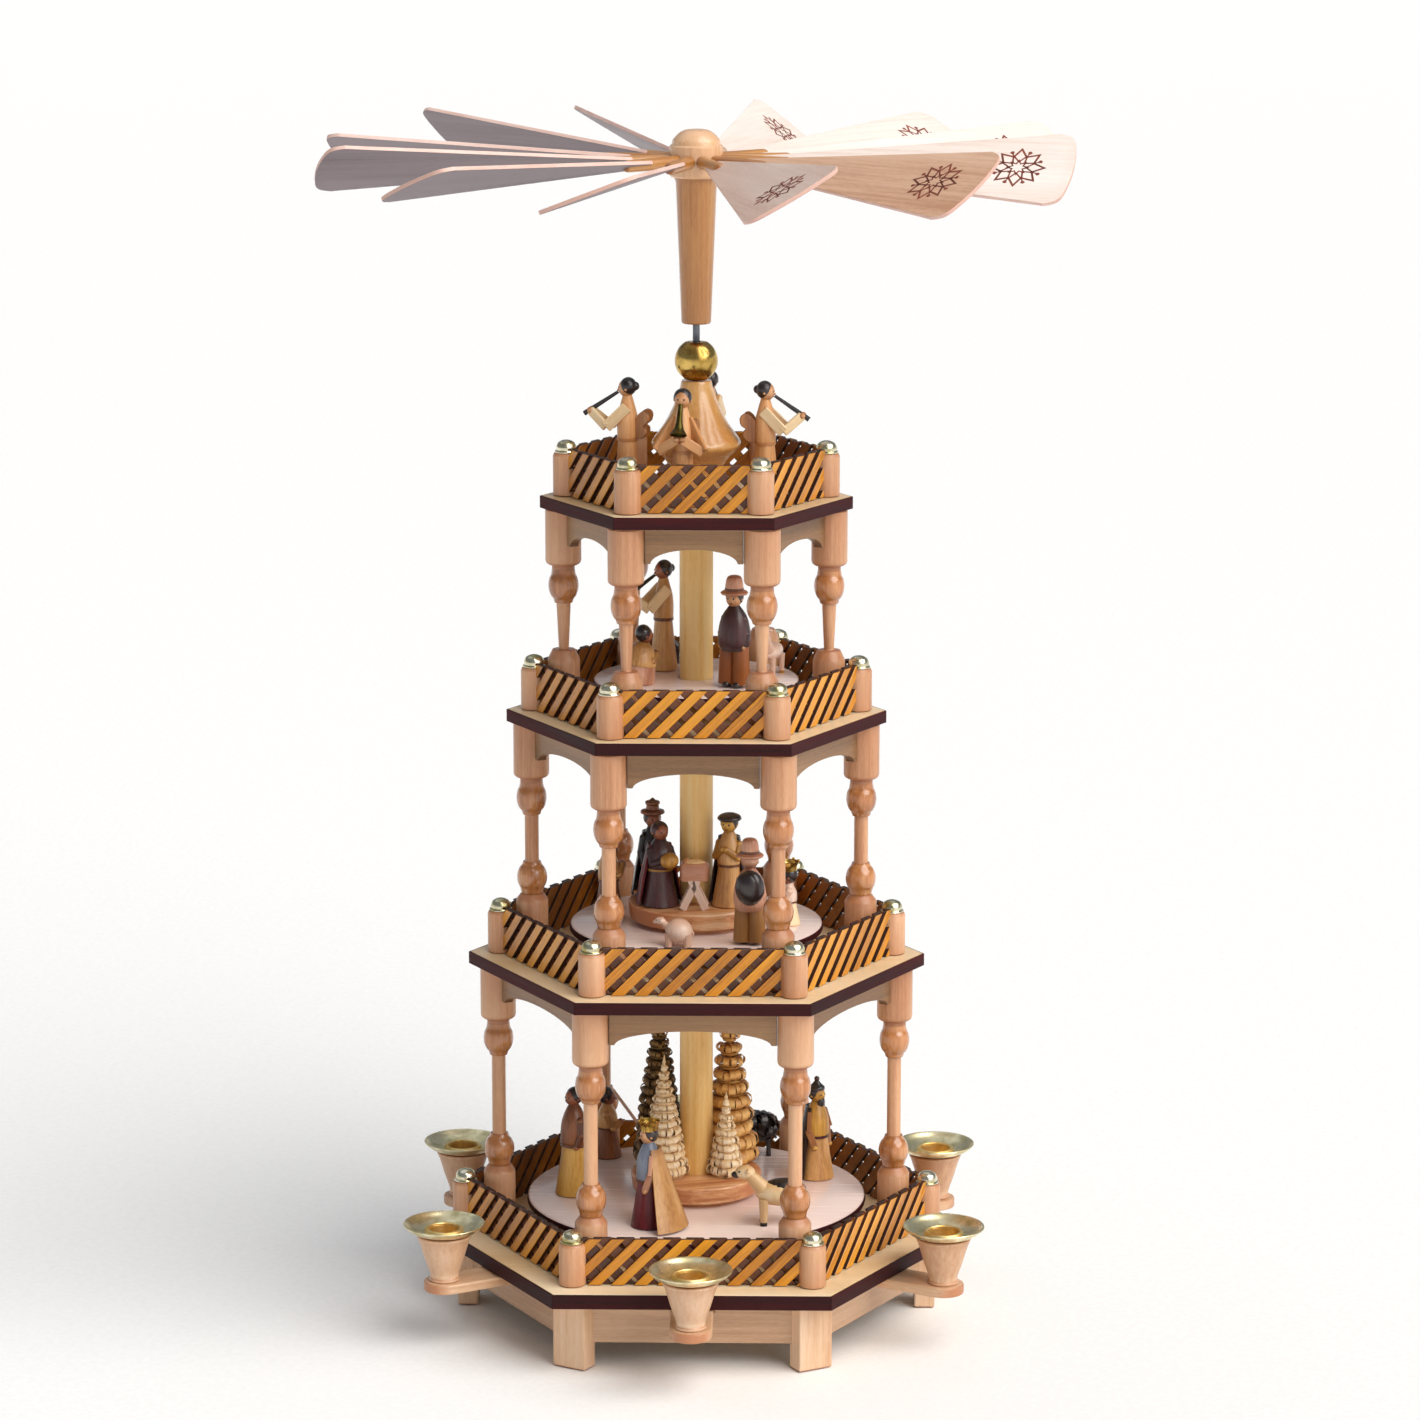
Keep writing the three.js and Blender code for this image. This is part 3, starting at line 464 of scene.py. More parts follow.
def makeBase():
    high = corners("base_frame")[1]
    plateLow, plateHigh = corners("base_plate")
    reach = (plateHigh.x - plateLow.x) / 2
    look = baseLook
    width, depth = look["legWidth"] / 2, look["legDepth"] / 2
    leg = sawn(rectangle(depth, width), high.z, look["legEdge"], (0, 0, 1))
    face = reach * flatRatio - look["apronInset"]
    half = face * math.tan(math.pi / sides)
    tall, thickness = look["apronDepth"], look["apronThickness"]
    notch, deep = look["notchWidth"] / 2, tall - look["notchDepth"]
    outline = [(-half, 0), (half, 0), (half, tall), (notch, tall), (notch, deep), (-notch, deep),
        (-notch, tall), (-half, tall)]
    apron = sawn(outline, thickness, 0.5, mitre=thickness * math.tan(math.pi / sides))
    parts = []
    for i in range(sides):
        parts.append((leg, around(60 * i, reach - look["legInset"] - depth), "beech"))
        # The aprons take beech painted darker, as painted shade
        parts.append((apron, turn(60 * i + 30) @ shift(face - thickness, 0, high.z - tall) @ upright,
            "beechPaintedShade"))
    makePiece("base_frame_wood", parts, "tower", ["base_frame"])
    plate = plateParts(reach, plateHigh.z - plateLow.z, plateHigh.z)
    makePiece("base_plate_wood", plate, "tower", ["base_plate"])


def makeBearing():
    low, high = corners("bearing_cup")
    peg, flange = 4, 9
    cup = lathe([(0, low.z), (peg, low.z), (peg, low.z + 4.8), (flange - 0.4, low.z + 4.8),
        (flange, low.z + 5.2), (flange, high.z - 1), (flange - 0.6, high.z - 0.3, "round"), (7.4, high.z),
        (4.6, high.z), (1.2, high.z - 2.2, "round"), (0, high.z - 2.5, "round")], 32)
    makePiece("bearing_cup_brass", [(cup, Matrix(), "brass")], "tower", ["bearing_cup"])


armLook = {"width": 19, "thickness": 4.6, "innerReach": 78, "edge": 0.7, "footRadius": 6.3,
    "lipRadius": 12.6, "boreRadius": 8.1, "ferruleDepth": 9.4}
panLook = {"radius": 18.6, "candleRadius": 7.1, "sheet": 0.7}


def makeArms():
    look = armLook
    half, inner = look["width"] / 2, look["innerReach"]
    lip, foot, bore = look["lipRadius"], look["footRadius"], look["boreRadius"]
    rim, sheet, wide = panLook["candleRadius"], panLook["sheet"], panLook["radius"]
    pan = lathe([(0, 0), (rim + sheet, 0), (rim + sheet, 9), (11.5, 9.1, "round"), (15.5, 10.6, "round"),
        (wide - 0.2, 13.0), (wide, 13.5, "round"), (wide - 0.5, 13.8, "round"), (15.2, 11.6, "round"),
        (11.2, 10.0, "round"), (rim + 1.6, 9.9), (rim + 1.2, 10.8, "round"), (rim + 0.5, 11.0, "round"),
        (rim, 10.4), (rim, sheet), (0, sheet)], 48)
    ring = lathe([(rim, 9.9), (rim + 1.8, 9.9), (rim + 1.5, 11.1, "round"), (rim + 0.6, 11.5, "round"),
        (rim, 11.0), (rim, 9.9)])
    liner = lathe([(0, 0.75), (rim - 0.2, 0.75), (rim - 0.2, 10.3), (rim - 0.5, 10.3), (rim - 0.5, 1.1),
        (0, 1.1)])
    for i in range(1, sides + 1):
        low, high = corners(f"candle_arm_{i}")
        panLow, panHigh = corners(f"drip_pan_{i}")
        middle = (panLow + panHigh) / 2
        reach, angle = math.hypot(middle.x, middle.y), math.degrees(math.atan2(middle.y, middle.x))
        end = [(reach + half * sin(a), -half * cos(a)) for a in range(0, 181, 12)]
        arm = sawn([(inner, -half)] + end + [(inner, half)], look["thickness"], look["edge"])
        deck = low.z + look["thickness"]
        tall = high.z - deck
        deep = tall - look["ferruleDepth"]
        cup = lathe([(0, -0.1), (foot + 0.3, -0.1), (foot + 0.8, 0.9, "round"), (foot + 0.2, 2.0),
            (foot + 0.5, 4, "round"), (foot + 2.6, 0.46 * tall, "round"), (lip - 1.3, 0.82 * tall, "round"),
            (lip, tall - 0.7), (lip - 0.4, tall), (bore + 0.2, tall), (bore, tall - 0.4), (bore, deep),
            (0, deep)])
        parts = [(arm, around(angle, 0, low.z), "beech"), (cup, around(angle, reach, deck), "beech")]
        makePiece(f"candle_arm_{i}_wood", parts, "tower", [f"candle_arm_{i}"])
        place = around(angle, reach, panLow.z)
        parts = [(pan, place, "panBrass"), (ring, place, "goldBrass"), (liner, place, "goldBrass")]
        makePiece(f"drip_pan_{i}_brass", parts, "tower", [f"drip_pan_{i}"])


archLook = {"endDepth": 16.2, "middleDepth": 9.7, "thickness": 4.5, "shoulder": 2.6, "headRadius": 8.2}


def archParts(storey, under):
    low, high = corners(f"column_{storey}_1")
    reach = (low.x + high.x) / 2
    look = archLook
    deep, rise, thickness = look["endDepth"], look["endDepth"] - look["middleDepth"], look["thickness"]
    half = reach / 2 - look["headRadius"] - 0.1
    inner = half - look["shoulder"]
    curve = [(inner * sin(a), -look["middleDepth"] - rise * (1 - cos(a))) for a in range(-90, 91, 9)]
    outline = [(half, 0), (-half, 0), (-half, -deep)] + curve + [(half, -deep)]
    arch = sawn(outline[::-1], thickness, 0.4)
    place = shift(reach * flatRatio - thickness / 2, 0, under) @ upright
    # The arch boards take the maple painted darker, as painted shade
    return [(arch, turn(60 * i + 30) @ place, "archWood") for i in range(sides)]


def makeDecks():
    thickness = plateLook["thickness"]
    for tier in (2, 3, 4):
        low, high = corners(f"deck_{tier}")
        top = corners(f"railing_{tier}")[0].z - seat
        hole = plateLook["wireHole" if tier == 4 else "shaftHole"]
        parts = plateParts((high.x - low.x) / 2, thickness, top, hole) + archParts(tier - 1, top - thickness)
        makePiece(f"deck_{tier}_wood", parts, "tower", [f"deck_{tier}"])


columnLook = {"baseRadius": 7.4, "headRadius": 8.2, "eggRadius": 6.95, "spindleRadius": 3.2, "groove": 5.2,
    "baseHeight": 27.8, "headHeight": 25.2, "grooveHeight": 2, "lowerEgg": 14.9, "upperEgg": 15.8}


def eggParts(foot, top, footRadius, topRadius):
    middle, half = (foot + top) / 2, (top - foot) / 2
    profile = [(0, foot), (footRadius, foot)]
    for a in range(25, 156, 13):
        reach = columnLook["eggRadius"] * sin(a) ** 0.8
        least = footRadius if a < 90 else topRadius
        if reach > least + 0.2:
            profile.append((reach, middle - half * cos(a), "round"))
    return [(lathe(profile + [(topRadius, top), (0, top)], 40, 3), Matrix(), "amberBead")]


def columnParts(tall, hasLowerEgg):
    # A foot and a head on one spindle. An egg bead sits under the head, and on two storeys one on the foot
    look = columnLook
    base, head, groove = look["baseRadius"], look["headRadius"], look["groove"]
    thin, foot = look["spindleRadius"], look["baseHeight"]
    headFoot = tall - look["headHeight"]
    eggTop = headFoot - look["grooveHeight"]
    eggFoot = eggTop - look["upperEgg"]
    shoulder = 3.4 if hasLowerEgg else 5
    start, stop = (thin, thin) if hasLowerEgg else (0.72 * thin, 1.04 * thin)
    body = lathe([(0, 0), (base - 0.4, 0), (base, 0.4), (base, foot - shoulder),
        (base - 0.5, foot - 0.7 * shoulder, "round"), (groove, foot - 0.1), (start + 0.3, foot),
        (start, foot + 0.5), (stop, eggFoot + 0.6), (stop, eggTop - 1), (groove, eggTop - 0.6),
        (groove, headFoot - 0.2), (head - 1.4, headFoot - 0.2), (head - 0.4, headFoot + 0.6, "round"),
        (head, headFoot + 1.8), (head, tall - 0.4), (head - 0.4, tall), (0, tall)])
    parts = [(body, Matrix(), "postBeech")] + eggParts(eggFoot, eggTop, stop + 0.9, groove)
    if hasLowerEgg:
        parts += eggParts(foot, foot + look["lowerEgg"], groove - 0.2, thin + 0.9)
    return parts


def makeColumns():
    for storey in (1, 2, 3):
        low, high = corners(f"column_{storey}_1")
        column = columnParts(high.z - low.z, storey < 3)
        for i in range(sides):
            node = f"column_{storey}_{i + 1}"
            low, high = corners(node)
            middle = (low + high) / 2
            place = shift(middle.x, middle.y, low.z) @ turn(60 * i)
            makePiece(node + "_wood", moved(column, place), "tower", [node])


railingLook = {"postRadius": 6.1, "postHeight": 19.4, "postInset": 6.6, "capRadius": 5.2, "capHeight": 5.8,
    "latticeHeight": 21.5, "outerSlat": 4.2, "innerSlat": 5.4, "slatThickness": 1.9, "pitch": 10.4}


def slatLayer(length, lean, width):
    # Slats that lean 45 degrees, sawn off level at the top and foot and upright at the posts
    look = railingLook
    tall, wide = look["latticeHeight"], width * math.sqrt(2)
    bm = bmesh.new()
    count = math.ceil((length + tall) / look["pitch"]) + 1
    start = -count * look["pitch"] / 2 - tall / 2
    for i in range(count):
        x = start + i * look["pitch"]
        quad = [(x, 0), (x + wide, 0), (x + wide + tall, tall), (x + tall, tall)]
        bm.faces.new([bm.verts.new(metres(lean * a, b, 0)) for a, b in quad[::lean]])
    for end in (-1, 1):
        whole = bm.verts[:] + bm.edges[:] + bm.faces[:]
        bmesh.ops.bisect_plane(bm, geom=whole, plane_co=metres(end * length / 2, 0, 0), plane_no=(end, 0, 0),
            clear_outer=True)
    thicken(bm, look["slatThickness"])
    return shaped(easeEdges(bm, 0.22, 1), (lean, 1, 0), flatSharp)


def makeRailings():
    look = railingLook
    radius, tall, cap, capTall = look["postRadius"], look["postHeight"], look["capRadius"], look["capHeight"]
    post = lathe([(0, 0), (radius - 0.3, 0), (radius, 0.3), (radius, tall - 1.4),
        (radius - 0.5, tall - 0.3, "round"), (cap + 0.1, tall), (0, tall)], 32)
    dome = lathe([(0, tall), (cap, tall), (cap + 0.15, tall + 0.45, "round"), (cap, tall + 0.9),
        (cap - 0.6, tall + 1.2), (cap - 0.5, tall + 2.6, "round"),
        (0.66 * cap, tall + 0.82 * capTall, "round"), (0, tall + capTall, "round")], 28)
    for tier in (1, 2, 3, 4):
        low, high = corners(f"railing_{tier}")
        reach = high.x - look["postInset"]
        length = reach - 1.5 * radius
        outer, inner = slatLayer(length, 1, look["outerSlat"]), slatLayer(length, -1, look["innerSlat"])
        outside = shift(reach * flatRatio, 0, low.z) @ upright
        inside = shift(reach * flatRatio - look["slatThickness"], 0, low.z) @ upright
        parts = []
        for i in range(sides):
            side = turn(60 * i + 30)
            parts.append((post, around(60 * i, reach, low.z), "postBeech"))
            parts.append((dome, around(60 * i, reach, low.z), "capBrass"))
            # Outer faces carry the golden stain. The inner layer's faces and all sawn edges carry painted
            # shade
            parts.append((outer, side @ outside, ("goldSlat", "goldSlat", "slatEdgePaintedShade")))
            parts.append((inner, side @ inside, ("slatDeepPaintedShade", "slatPaintedShade", "slatEdgePaintedShade")))
        makePiece(f"railing_{tier}_wood", parts, "tower", [f"railing_{tier}"])


def makeSpire():
    low, high = corners("spire")
    tall, wide = high.z - low.z, (high.y - low.y) / 2
    bore, foot, neck = 2.5, 10, 6.9
    # The flare, in shares of the spire's width and height
    flare = [(0.58, 0.24), (0.75, 0.34), (0.9, 0.39), (1, 0.452), (0.88, 0.535), (0.69, 0.64), (0.52, 0.77),
        (0.39, 0.9)]
    spire = lathe([(bore, 0), (foot - 0.4, 0), (foot, 0.5), (foot + 0.2, 0.14 * tall, "round")]
        + [(x * wide, z * tall, "round") for x, z in flare] + [(neck, tall - 0.6), (neck - 0.3, tall),
        (bore, tall), (bore, 0)], 56)
    makePiece("spire_wood", [(spire, shift(z=low.z), "spireWood")], "tower", ["spire"])
    low, high = corners("brass_ball")
    tall, wide = high.z - low.z, (high.x - low.x) / 2
    bore, lip = 2.1, 3.6
    curve = [(wide * sin(a), tall / 2 - wide * cos(a)) for a in range(30, 151, 8)]
    ball = lathe([(bore, 0), (lip, 0)] + curve + [(lip, tall), (bore, tall), (bore, 0)], 48)
    makePiece("ball_brass", [(ball, shift(z=low.z), "brass")], "tower", ["brass_ball"])


def makeShaft():
    low, high = corners("shaft")
    radius = (high.x - low.x) / 2 - 0.1
    foot, point, socket = low.z + 4.4, 1.6, 1.9
    shaft = lathe([(0, low.z), (point, low.z + 1.6), (point, foot - 0.6), (radius - 0.6, foot - 0.6),
        (radius, foot), (radius, high.z - 0.5), (radius - 0.5, high.z), (socket, high.z),
        (socket, high.z - 4), (0, high.z - 4)])
    makePiece("shaft_wood", [(shaft, Matrix(), "spruce")], "rotor", ["shaft"])
    low, high = corners("spindle_wire")
    wire = lathe([(0, low.z), (1.3, low.z), (1.6, low.z + 0.3), (1.6, high.z - 0.3), (1.3, high.z),
        (0, high.z)], 20)
    makePiece("spindle_wire_steel", [(wire, Matrix(), "steel")], "rotor", ["spindle_wire"])


wheelLook = {"count": 12, "drumHeight": 14.2, "domeHeight": 7, "hubRadius": 12, "stemFoot": 6.7,
    "stemTop": 9.2, "pegLength": 32, "pegRadius": 3, "pegTip": 2.4, "tenonRadius": 1.5, "tenonLength": 3.1,
    "mouth": 2.9, "slot": 14, "thickness": 1.8, "corner": 8, "crown": 1.5, "bladeHalf": 23,
    "wheelRadius": 172, "starReach": 147, "starRadius": 13, "starDepth": 0.09, "starPoints": 8}


def makeHub():
    low, high = corners("wheel_hub")
    look = wheelLook
    stem = high.z - low.z - look["drumHeight"] - look["domeHeight"]
    hub, foot, head, dome = look["hubRadius"], look["stemFoot"], look["stemTop"], look["domeHeight"]
    drumTop = stem + look["drumHeight"]
    post = lathe([(1.9, 24.3), (1.9, 0), (foot - 0.5, 0), (foot, 0.6), (head, stem - 3),
        (head + 0.3, stem - 1.6, "round"), (hub - 2, stem - 0.5, "round"), (hub - 2, stem + 2),
        (0, stem + 2)], 56)
    body = lathe([(hub - 2.6, stem - 0.4), (hub - 0.7, stem - 0.2), (hub, stem + 0.6), (hub, drumTop - 0.6),
        (hub - 0.5, drumTop), (hub - 0.9, drumTop + 0.2), (0.86 * hub, drumTop + 2.6, "round"),
        (0.5 * hub, drumTop + 0.9 * dome, "round"), (0, drumTop + dome, "round")], 56)
    parts = [(post, shift(z=low.z), "honey"), (body, shift(z=low.z), "hubWood")]
    wide, deep = look["mouth"], 0.12
    mouth = lathe([(0, 0), (wide, 0), (wide, deep), (0, deep)], 20)
    for i in range(look["count"]):  # flat brown discs at the peg sockets: painted shade for countersunk mouths that are not modelled
        place = around(15 + 30 * i, hub - 0.1, low.z + stem + look["drumHeight"] / 2) @ turn(90, "Y")
        parts.append((mouth, place, "brown"))
    makePiece("wheel_hub_wood", parts, "rotor", ["wheel_hub"])


def starLine(radius, dip, width, phase=0):
    # A star drawn as one line: its face is inset by the line's width, and the middle taken out
    points = wheelLook["starPoints"]
    bm = bmesh.new()
    rim = []
    for i in range(2 * points):
        reach = radius if i % 2 == 0 else radius * dip
        angle = math.pi * i / points + math.radians(phase)
        rim.append(bm.verts.new(metres(reach * math.cos(angle), reach * math.sin(angle), 0)))
    bm.faces.new(rim)
    bm.normal_update()
    bmesh.ops.inset_individual(bm, faces=bm.faces[:], thickness=width * mm, use_even_offset=True)
    middle = max(bm.faces, key=lambda face: len(face.verts))
    bmesh.ops.delete(bm, geom=[middle], context="FACES_ONLY")
    thicken(bm, wheelLook["starDepth"])
    bmesh.ops.recalc_face_normals(bm, faces=bm.faces)
    return shaped(bm, (1, 0, 0), flatSharp)


def makePaddles():
    look = wheelLook
    start = look["hubRadius"] * math.cos(math.pi / look["count"]) + seat
    end = start + look["pegLength"]
    half, reach, corner = look["bladeHalf"], look["wheelRadius"], look["corner"]
    shoulder = reach - look["crown"]
    edge = smooth([(3.6, end - look["slot"]), (half - 0.3, shoulder - corner - 2),
        (half, shoulder - corner, "round"), (half - 0.3 * corner, shoulder - 0.3 * corner, "round"),
        (half - corner, shoulder, "round"), (0, reach, "round")])
    outline = [(x, y) for y, x in edge] + [(x, -y) for y, x in edge[-2::-1]]
    thickness = look["thickness"]
    blade = sawn(outline[::-1], thickness, 0.3)
    thick, tip = look["pegRadius"], look["pegTip"]
    tenon, tenonFoot = look["tenonRadius"], start - look["tenonLength"]
    peg = lathe([(0, tenonFoot), (tenon, tenonFoot), (tenon, start), (thick - 0.2, start),
        (thick, start + 0.3), (tip + 0.3, end - 2), (tip - 0.3, end - 0.3, "round"), (0, end, "round")], 20)
    radius = look["starRadius"]
    star = [starLine(radius, 0.62, 0.95), starLine(0.74 * radius, 0.45, 0.75, 22.5),
        starLine(0.42 * radius, 0.55, 0.65)]
    point = sawn([(0, 0), (2.2, 1.1), (2.9, 0), (2.2, -1.1)], look["starDepth"], 0.02)
    warm = {"paddle_10": "birchPink", "paddle_11": "birchTan"}
    for joint in frame["joints"]:
        if not joint["name"].endswith("_pitch"):
            continue
        name = joint["child"]
        axis, pos = joint["axis"], joint["pos_m"]
        pitch = -joint["range_deg"][0]  # a paddle's joint starts where its blade lies flat
        place = turn(math.degrees(math.atan2(axis[1], axis[0]))) @ shift(z=pos[2] / mm) @ turn(pitch, "X")
        # The underside finish of each blade is painted shade
        veneer = (warm.get(name, "birch"), "birchPaintedShadeUnder", "birchEdge")
        parts = [(peg, place @ turn(90, "Y"), "honey"), (blade, place @ shift(z=-thickness / 2), veneer)]
        onTop = place @ shift(look["starReach"], 0, thickness / 2 - 0.03)
        parts += [(line, onTop, "burnt") for line in star]
        parts += [(point, onTop @ turn(45 * i + 22.5) @ shift(radius * 0.66), "burnt")
            for i in range(look["starPoints"])]
        makePiece(f"{name}_wood", parts, name, [name])


makeBase()
makeBearing()
makeArms()
makeDecks()
print("base, arms, pans and decks made")
makeColumns()
makeRailings()
makeSpire()
makeShaft()
print("columns, railings, spire and shaft made")
makeHub()
makePaddles()
print("paddle wheel made")


def part(bm, finish, place=None, fibre=(0, 0, 1)):
    return shaped(bm, fibre), place or Matrix(), finish


def between(start, end, axis):
    # The length from start to end, and the place of something drawn round the origin along the axis
    start, end = Vector(metres(*start)), Vector(metres(*end))
    facing = (end - start).to_track_quat(axis, "Y" if axis == "Z" else "Z").to_matrix().to_4x4()
    return (end - start).length, Matrix.Translation((start + end) / 2) @ facing


def bar(start, end, radius, finish, endRadius=None, segments=10):
    length, place = between(start, end, "Z")
    bm = bmesh.new()
    bmesh.ops.create_cone(bm, cap_ends=True, segments=segments, radius1=radius * mm,
        radius2=(radius if endRadius is None else endRadius) * mm, depth=length)
    return part(bm, finish, place)


def bead(x, y, z, radius, finish, stretch=(1, 1, 1), segments=12):
    bm = bmesh.new()
    bmesh.ops.create_uvsphere(bm, u_segments=segments, v_segments=segments // 2 + 2, radius=radius * mm)
    bmesh.ops.scale(bm, vec=stretch, verts=bm.verts)
    return part(bm, finish, shift(x, y, z))


def plank(start, end, width, thickness, finish):
    # A flat whittled arm
    length, place = between(start, end, "X")
    bm = bmesh.new()
    bmesh.ops.create_cube(bm, size=1)
    bmesh.ops.scale(bm, vec=(length, thickness * mm, width * mm), verts=bm.verts)
    return shaped(easeEdges(bm, 0.3, 1), (1, 0, 0), flatSharp), place, finish


def headParts(x, z, skin, hair, r=4.0, beard=False, bun=False):
    # A plain doll's head of radius r: eyes at half its height, a small nose and mouth, calm
    parts = [bead(x, 0, z, r, skin, (0.95, 0.9, 1.05), 20),
        bead(x - 0.8, 0, z + 0.75, r * 1.05, hair, (0.93, 1, 1), 20),
        bead(x + 0.97 * r, 0, z - 0.25 * r, 0.13 * r, skin)]
    for side in (-1, 1):
        parts.append(bead(x + 0.86 * r, side * 0.33 * r, z + 0.05 * r, 0.11 * r, "black", (0.6, 1, 1.2), 8))
        parts.append(bead(x - 0.1 * r, side * 0.86 * r, z - 0.1 * r, 0.2 * r, skin))
    parts.append(bead(x + 0.84 * r, 0, z - 0.52 * r, 0.18 * r, "maroon", (0.4, 1, 0.35), 8))
    if beard:
        parts.append(bead(x + 0.55 * r, 0, z - 0.85 * r, 0.6 * r, hair, (0.8, 0.9, 1.1)))
    if bun:
        parts.append(bead(x - r, 0, z + 0.9, 0.5 * r, hair))
    return parts


# Each hat: how high it stands over the head, its finish, the segments round it and its profile
hats = {
    "brim": (8, "pinkTan", 28, [
        (0, 0), (5.9, -0.5), (6.3, 0.2, "round"), (5.4, 1), (4.2, 1.3), (4.0, 4.2, "round"),
        (3.3, 7.0, "round"), (1.9, 8.0, "round"), (0, 7.8, "round")]),
    "tall": (7.6, "brown", 24, [
        (0, 0), (4.4, 0), (5.6, 0.5, "round"), (5.4, 1.6), (3.2, 2.2), (2.9, 4.2, "round"), (3.4, 4.8),
        (3.3, 5.8, "round"), (1.6, 6.4), (0.7, 7.2, "round"), (0, 7.6, "round")]),
    "pointed": (6.2, "black", 24, [
        (0, 0), (3.8, 0), (3.7, 1.2, "round"), (2.4, 2.4), (1.4, 3.6, "round"), (0.8, 4.4), (0, 4.5)]),
    "crown": (4.8, "brass", 24, [
        (0, 0), (3.9, 0), (4.3, 2.6, "round"), (5.0, 4.4), (4.4, 4.5), (3.6, 2.4, "round"), (0, 2.0)]),
    "scarf": (2.6, "black", 24, [
        (0, -0.4), (5.0, -0.6), (5.6, 0.2, "round"), (4.6, 1.7, "round"), (2.4, 2.6, "round"),
        (0, 2.9, "round")]),
}


def hatParts(style, x, z):
    # z is where the hat sits on the head
    if not style:
        return []
    finish, segments, profile = hats[style][1:]
    parts = [part(turned(profile, segments), finish, shift(x - 0.6 if style == "scarf" else x, 0, z))]
    if style == "brim":
        band = turned([(4.0, 1.2), (4.4, 1.3), (4.3, 2.4), (3.9, 2.5)], 28)
        parts.append(part(band, "brown", shift(x, 0, z)))
    if style == "pointed":
        parts.append(bead(x, 0, z + 5, 1.3, "plum"))
    if style == "crown":
        parts += [bead(x + 4.6 * cos(a), 4.6 * sin(a), z + 4.7, 0.7, "brass", segments=8)
            for a in range(0, 360, 60)]
    return parts


def armParts(shoulder, elbow, hand, sleeve, skin, thick=1.9):
    return [bar(shoulder, elbow, thick, sleeve, 0.85 * thick),
        bar(elbow, hand, 0.9 * thick, sleeve, 0.8 * thick), bead(*shoulder, thick * 1.05, sleeve),
        bead(*elbow, thick * 0.92, sleeve), bead(*hand, thick * 0.8, skin)]


def heldParts(hold, foot, top, headZ, tall, sleeve, skin, flat, gift, staff):
    # The arms, and what they hold. top is the height of the shoulders
    parts = []
    wide = 0.5 * foot + 0.6
    if hold == "flute":
        top += 1.8
    if hold == "staff":
        parts += armParts((0, -wide, top), (3.2, -wide - 1.2, top - 6.4), (6.6, -wide + 0.4, top - 3.4),
            sleeve, skin)
        parts += armParts((0, wide, top), (1.8, wide + 1.2, top - 6.8), (3.4, wide - 0.6, top - 11), sleeve,
            skin)
        parts.append(bar((27, -wide, 0.4), (3, -wide + 0.2, tall), 0.8, staff))
        return parts
    for side in (-1, 1):
        shoulder = (0, side * wide, top)
        if hold == "flute":  # flat arms bent in a V
            elbow, hand = (9, side * (wide + 0.8), top - 8.6), (17, side * 1.3, headZ - 10.4)
            parts += [plank((-0.6, side * wide, top + 0.8), elbow, 5.2, 1.6, sleeve),
                plank(elbow, hand, 4.2, 1.5, sleeve), bead(*hand, 1.5, skin)]
        elif hold == "horn":
            elbow, hand = (4.8, side * 10.2, top - 12.4), (7.4, side * 1.4, top - 6.4)
            parts += [plank((-0.4, side * 2.0, top + 1.4), elbow, 6.4, 1.8, sleeve),
                plank(elbow, hand, 4.4, 1.6, sleeve), bead(*hand, 1.5, skin)]
        elif hold == "bowl":
            parts += armParts(shoulder, (3.6, side * (wide + 0.6), top - 5.4), (8.2, side * 1.8, top - 3.2),
                sleeve, skin)
        elif hold == "pray":
            parts += armParts(shoulder, (3.4, side * (wide + 0.8), top - 5.6), (6.6, side * 0.9, top - 1.6),
                sleeve, skin)
        elif flat:
            hand = (3.4, side * (wide + 0.4), top - 15)
            parts += [
                plank((0, side * wide, top + 1.6), (1.4, side * (wide + 2.4), top - 7.6), 3.6, 1.8, sleeve),
                plank((1.0, side * (wide + 2.4), top - 6.4), hand, 3.2, 1.7, sleeve),
                bead(*hand, 1.5, skin)]
        else:
            parts += armParts(shoulder, (0.6, side * (wide + 1.6), top - 6.6),
                (2.4, side * (wide + 0.8), top - 12), sleeve, skin)
    if hold == "flute":
        parts.append(bar((4.3, 0, headZ - 1.9), (20, 0, headZ - 12.2), 0.75, "black", 1.2))
    if hold == "horn":
        horn = turned([(0.8, 0), (1.1, 0), (1.4, 7, "round"), (2.2, 11, "round"), (4.0, 14), (3.6, 14.1),
            (1.6, 11, "round"), (0.8, 7, "round"), (0.6, 0), (0.8, 0)], 24)
        parts.append(part(horn, "hornBrass", shift(4.4, 0, headZ - 1.8) @ turn(158, "Y")))
    if hold == "bowl":
        parts.append(bead(9.2, 0, top - 3.4, gift, "gold", (1, 1.1, 0.95), 20))
    return parts


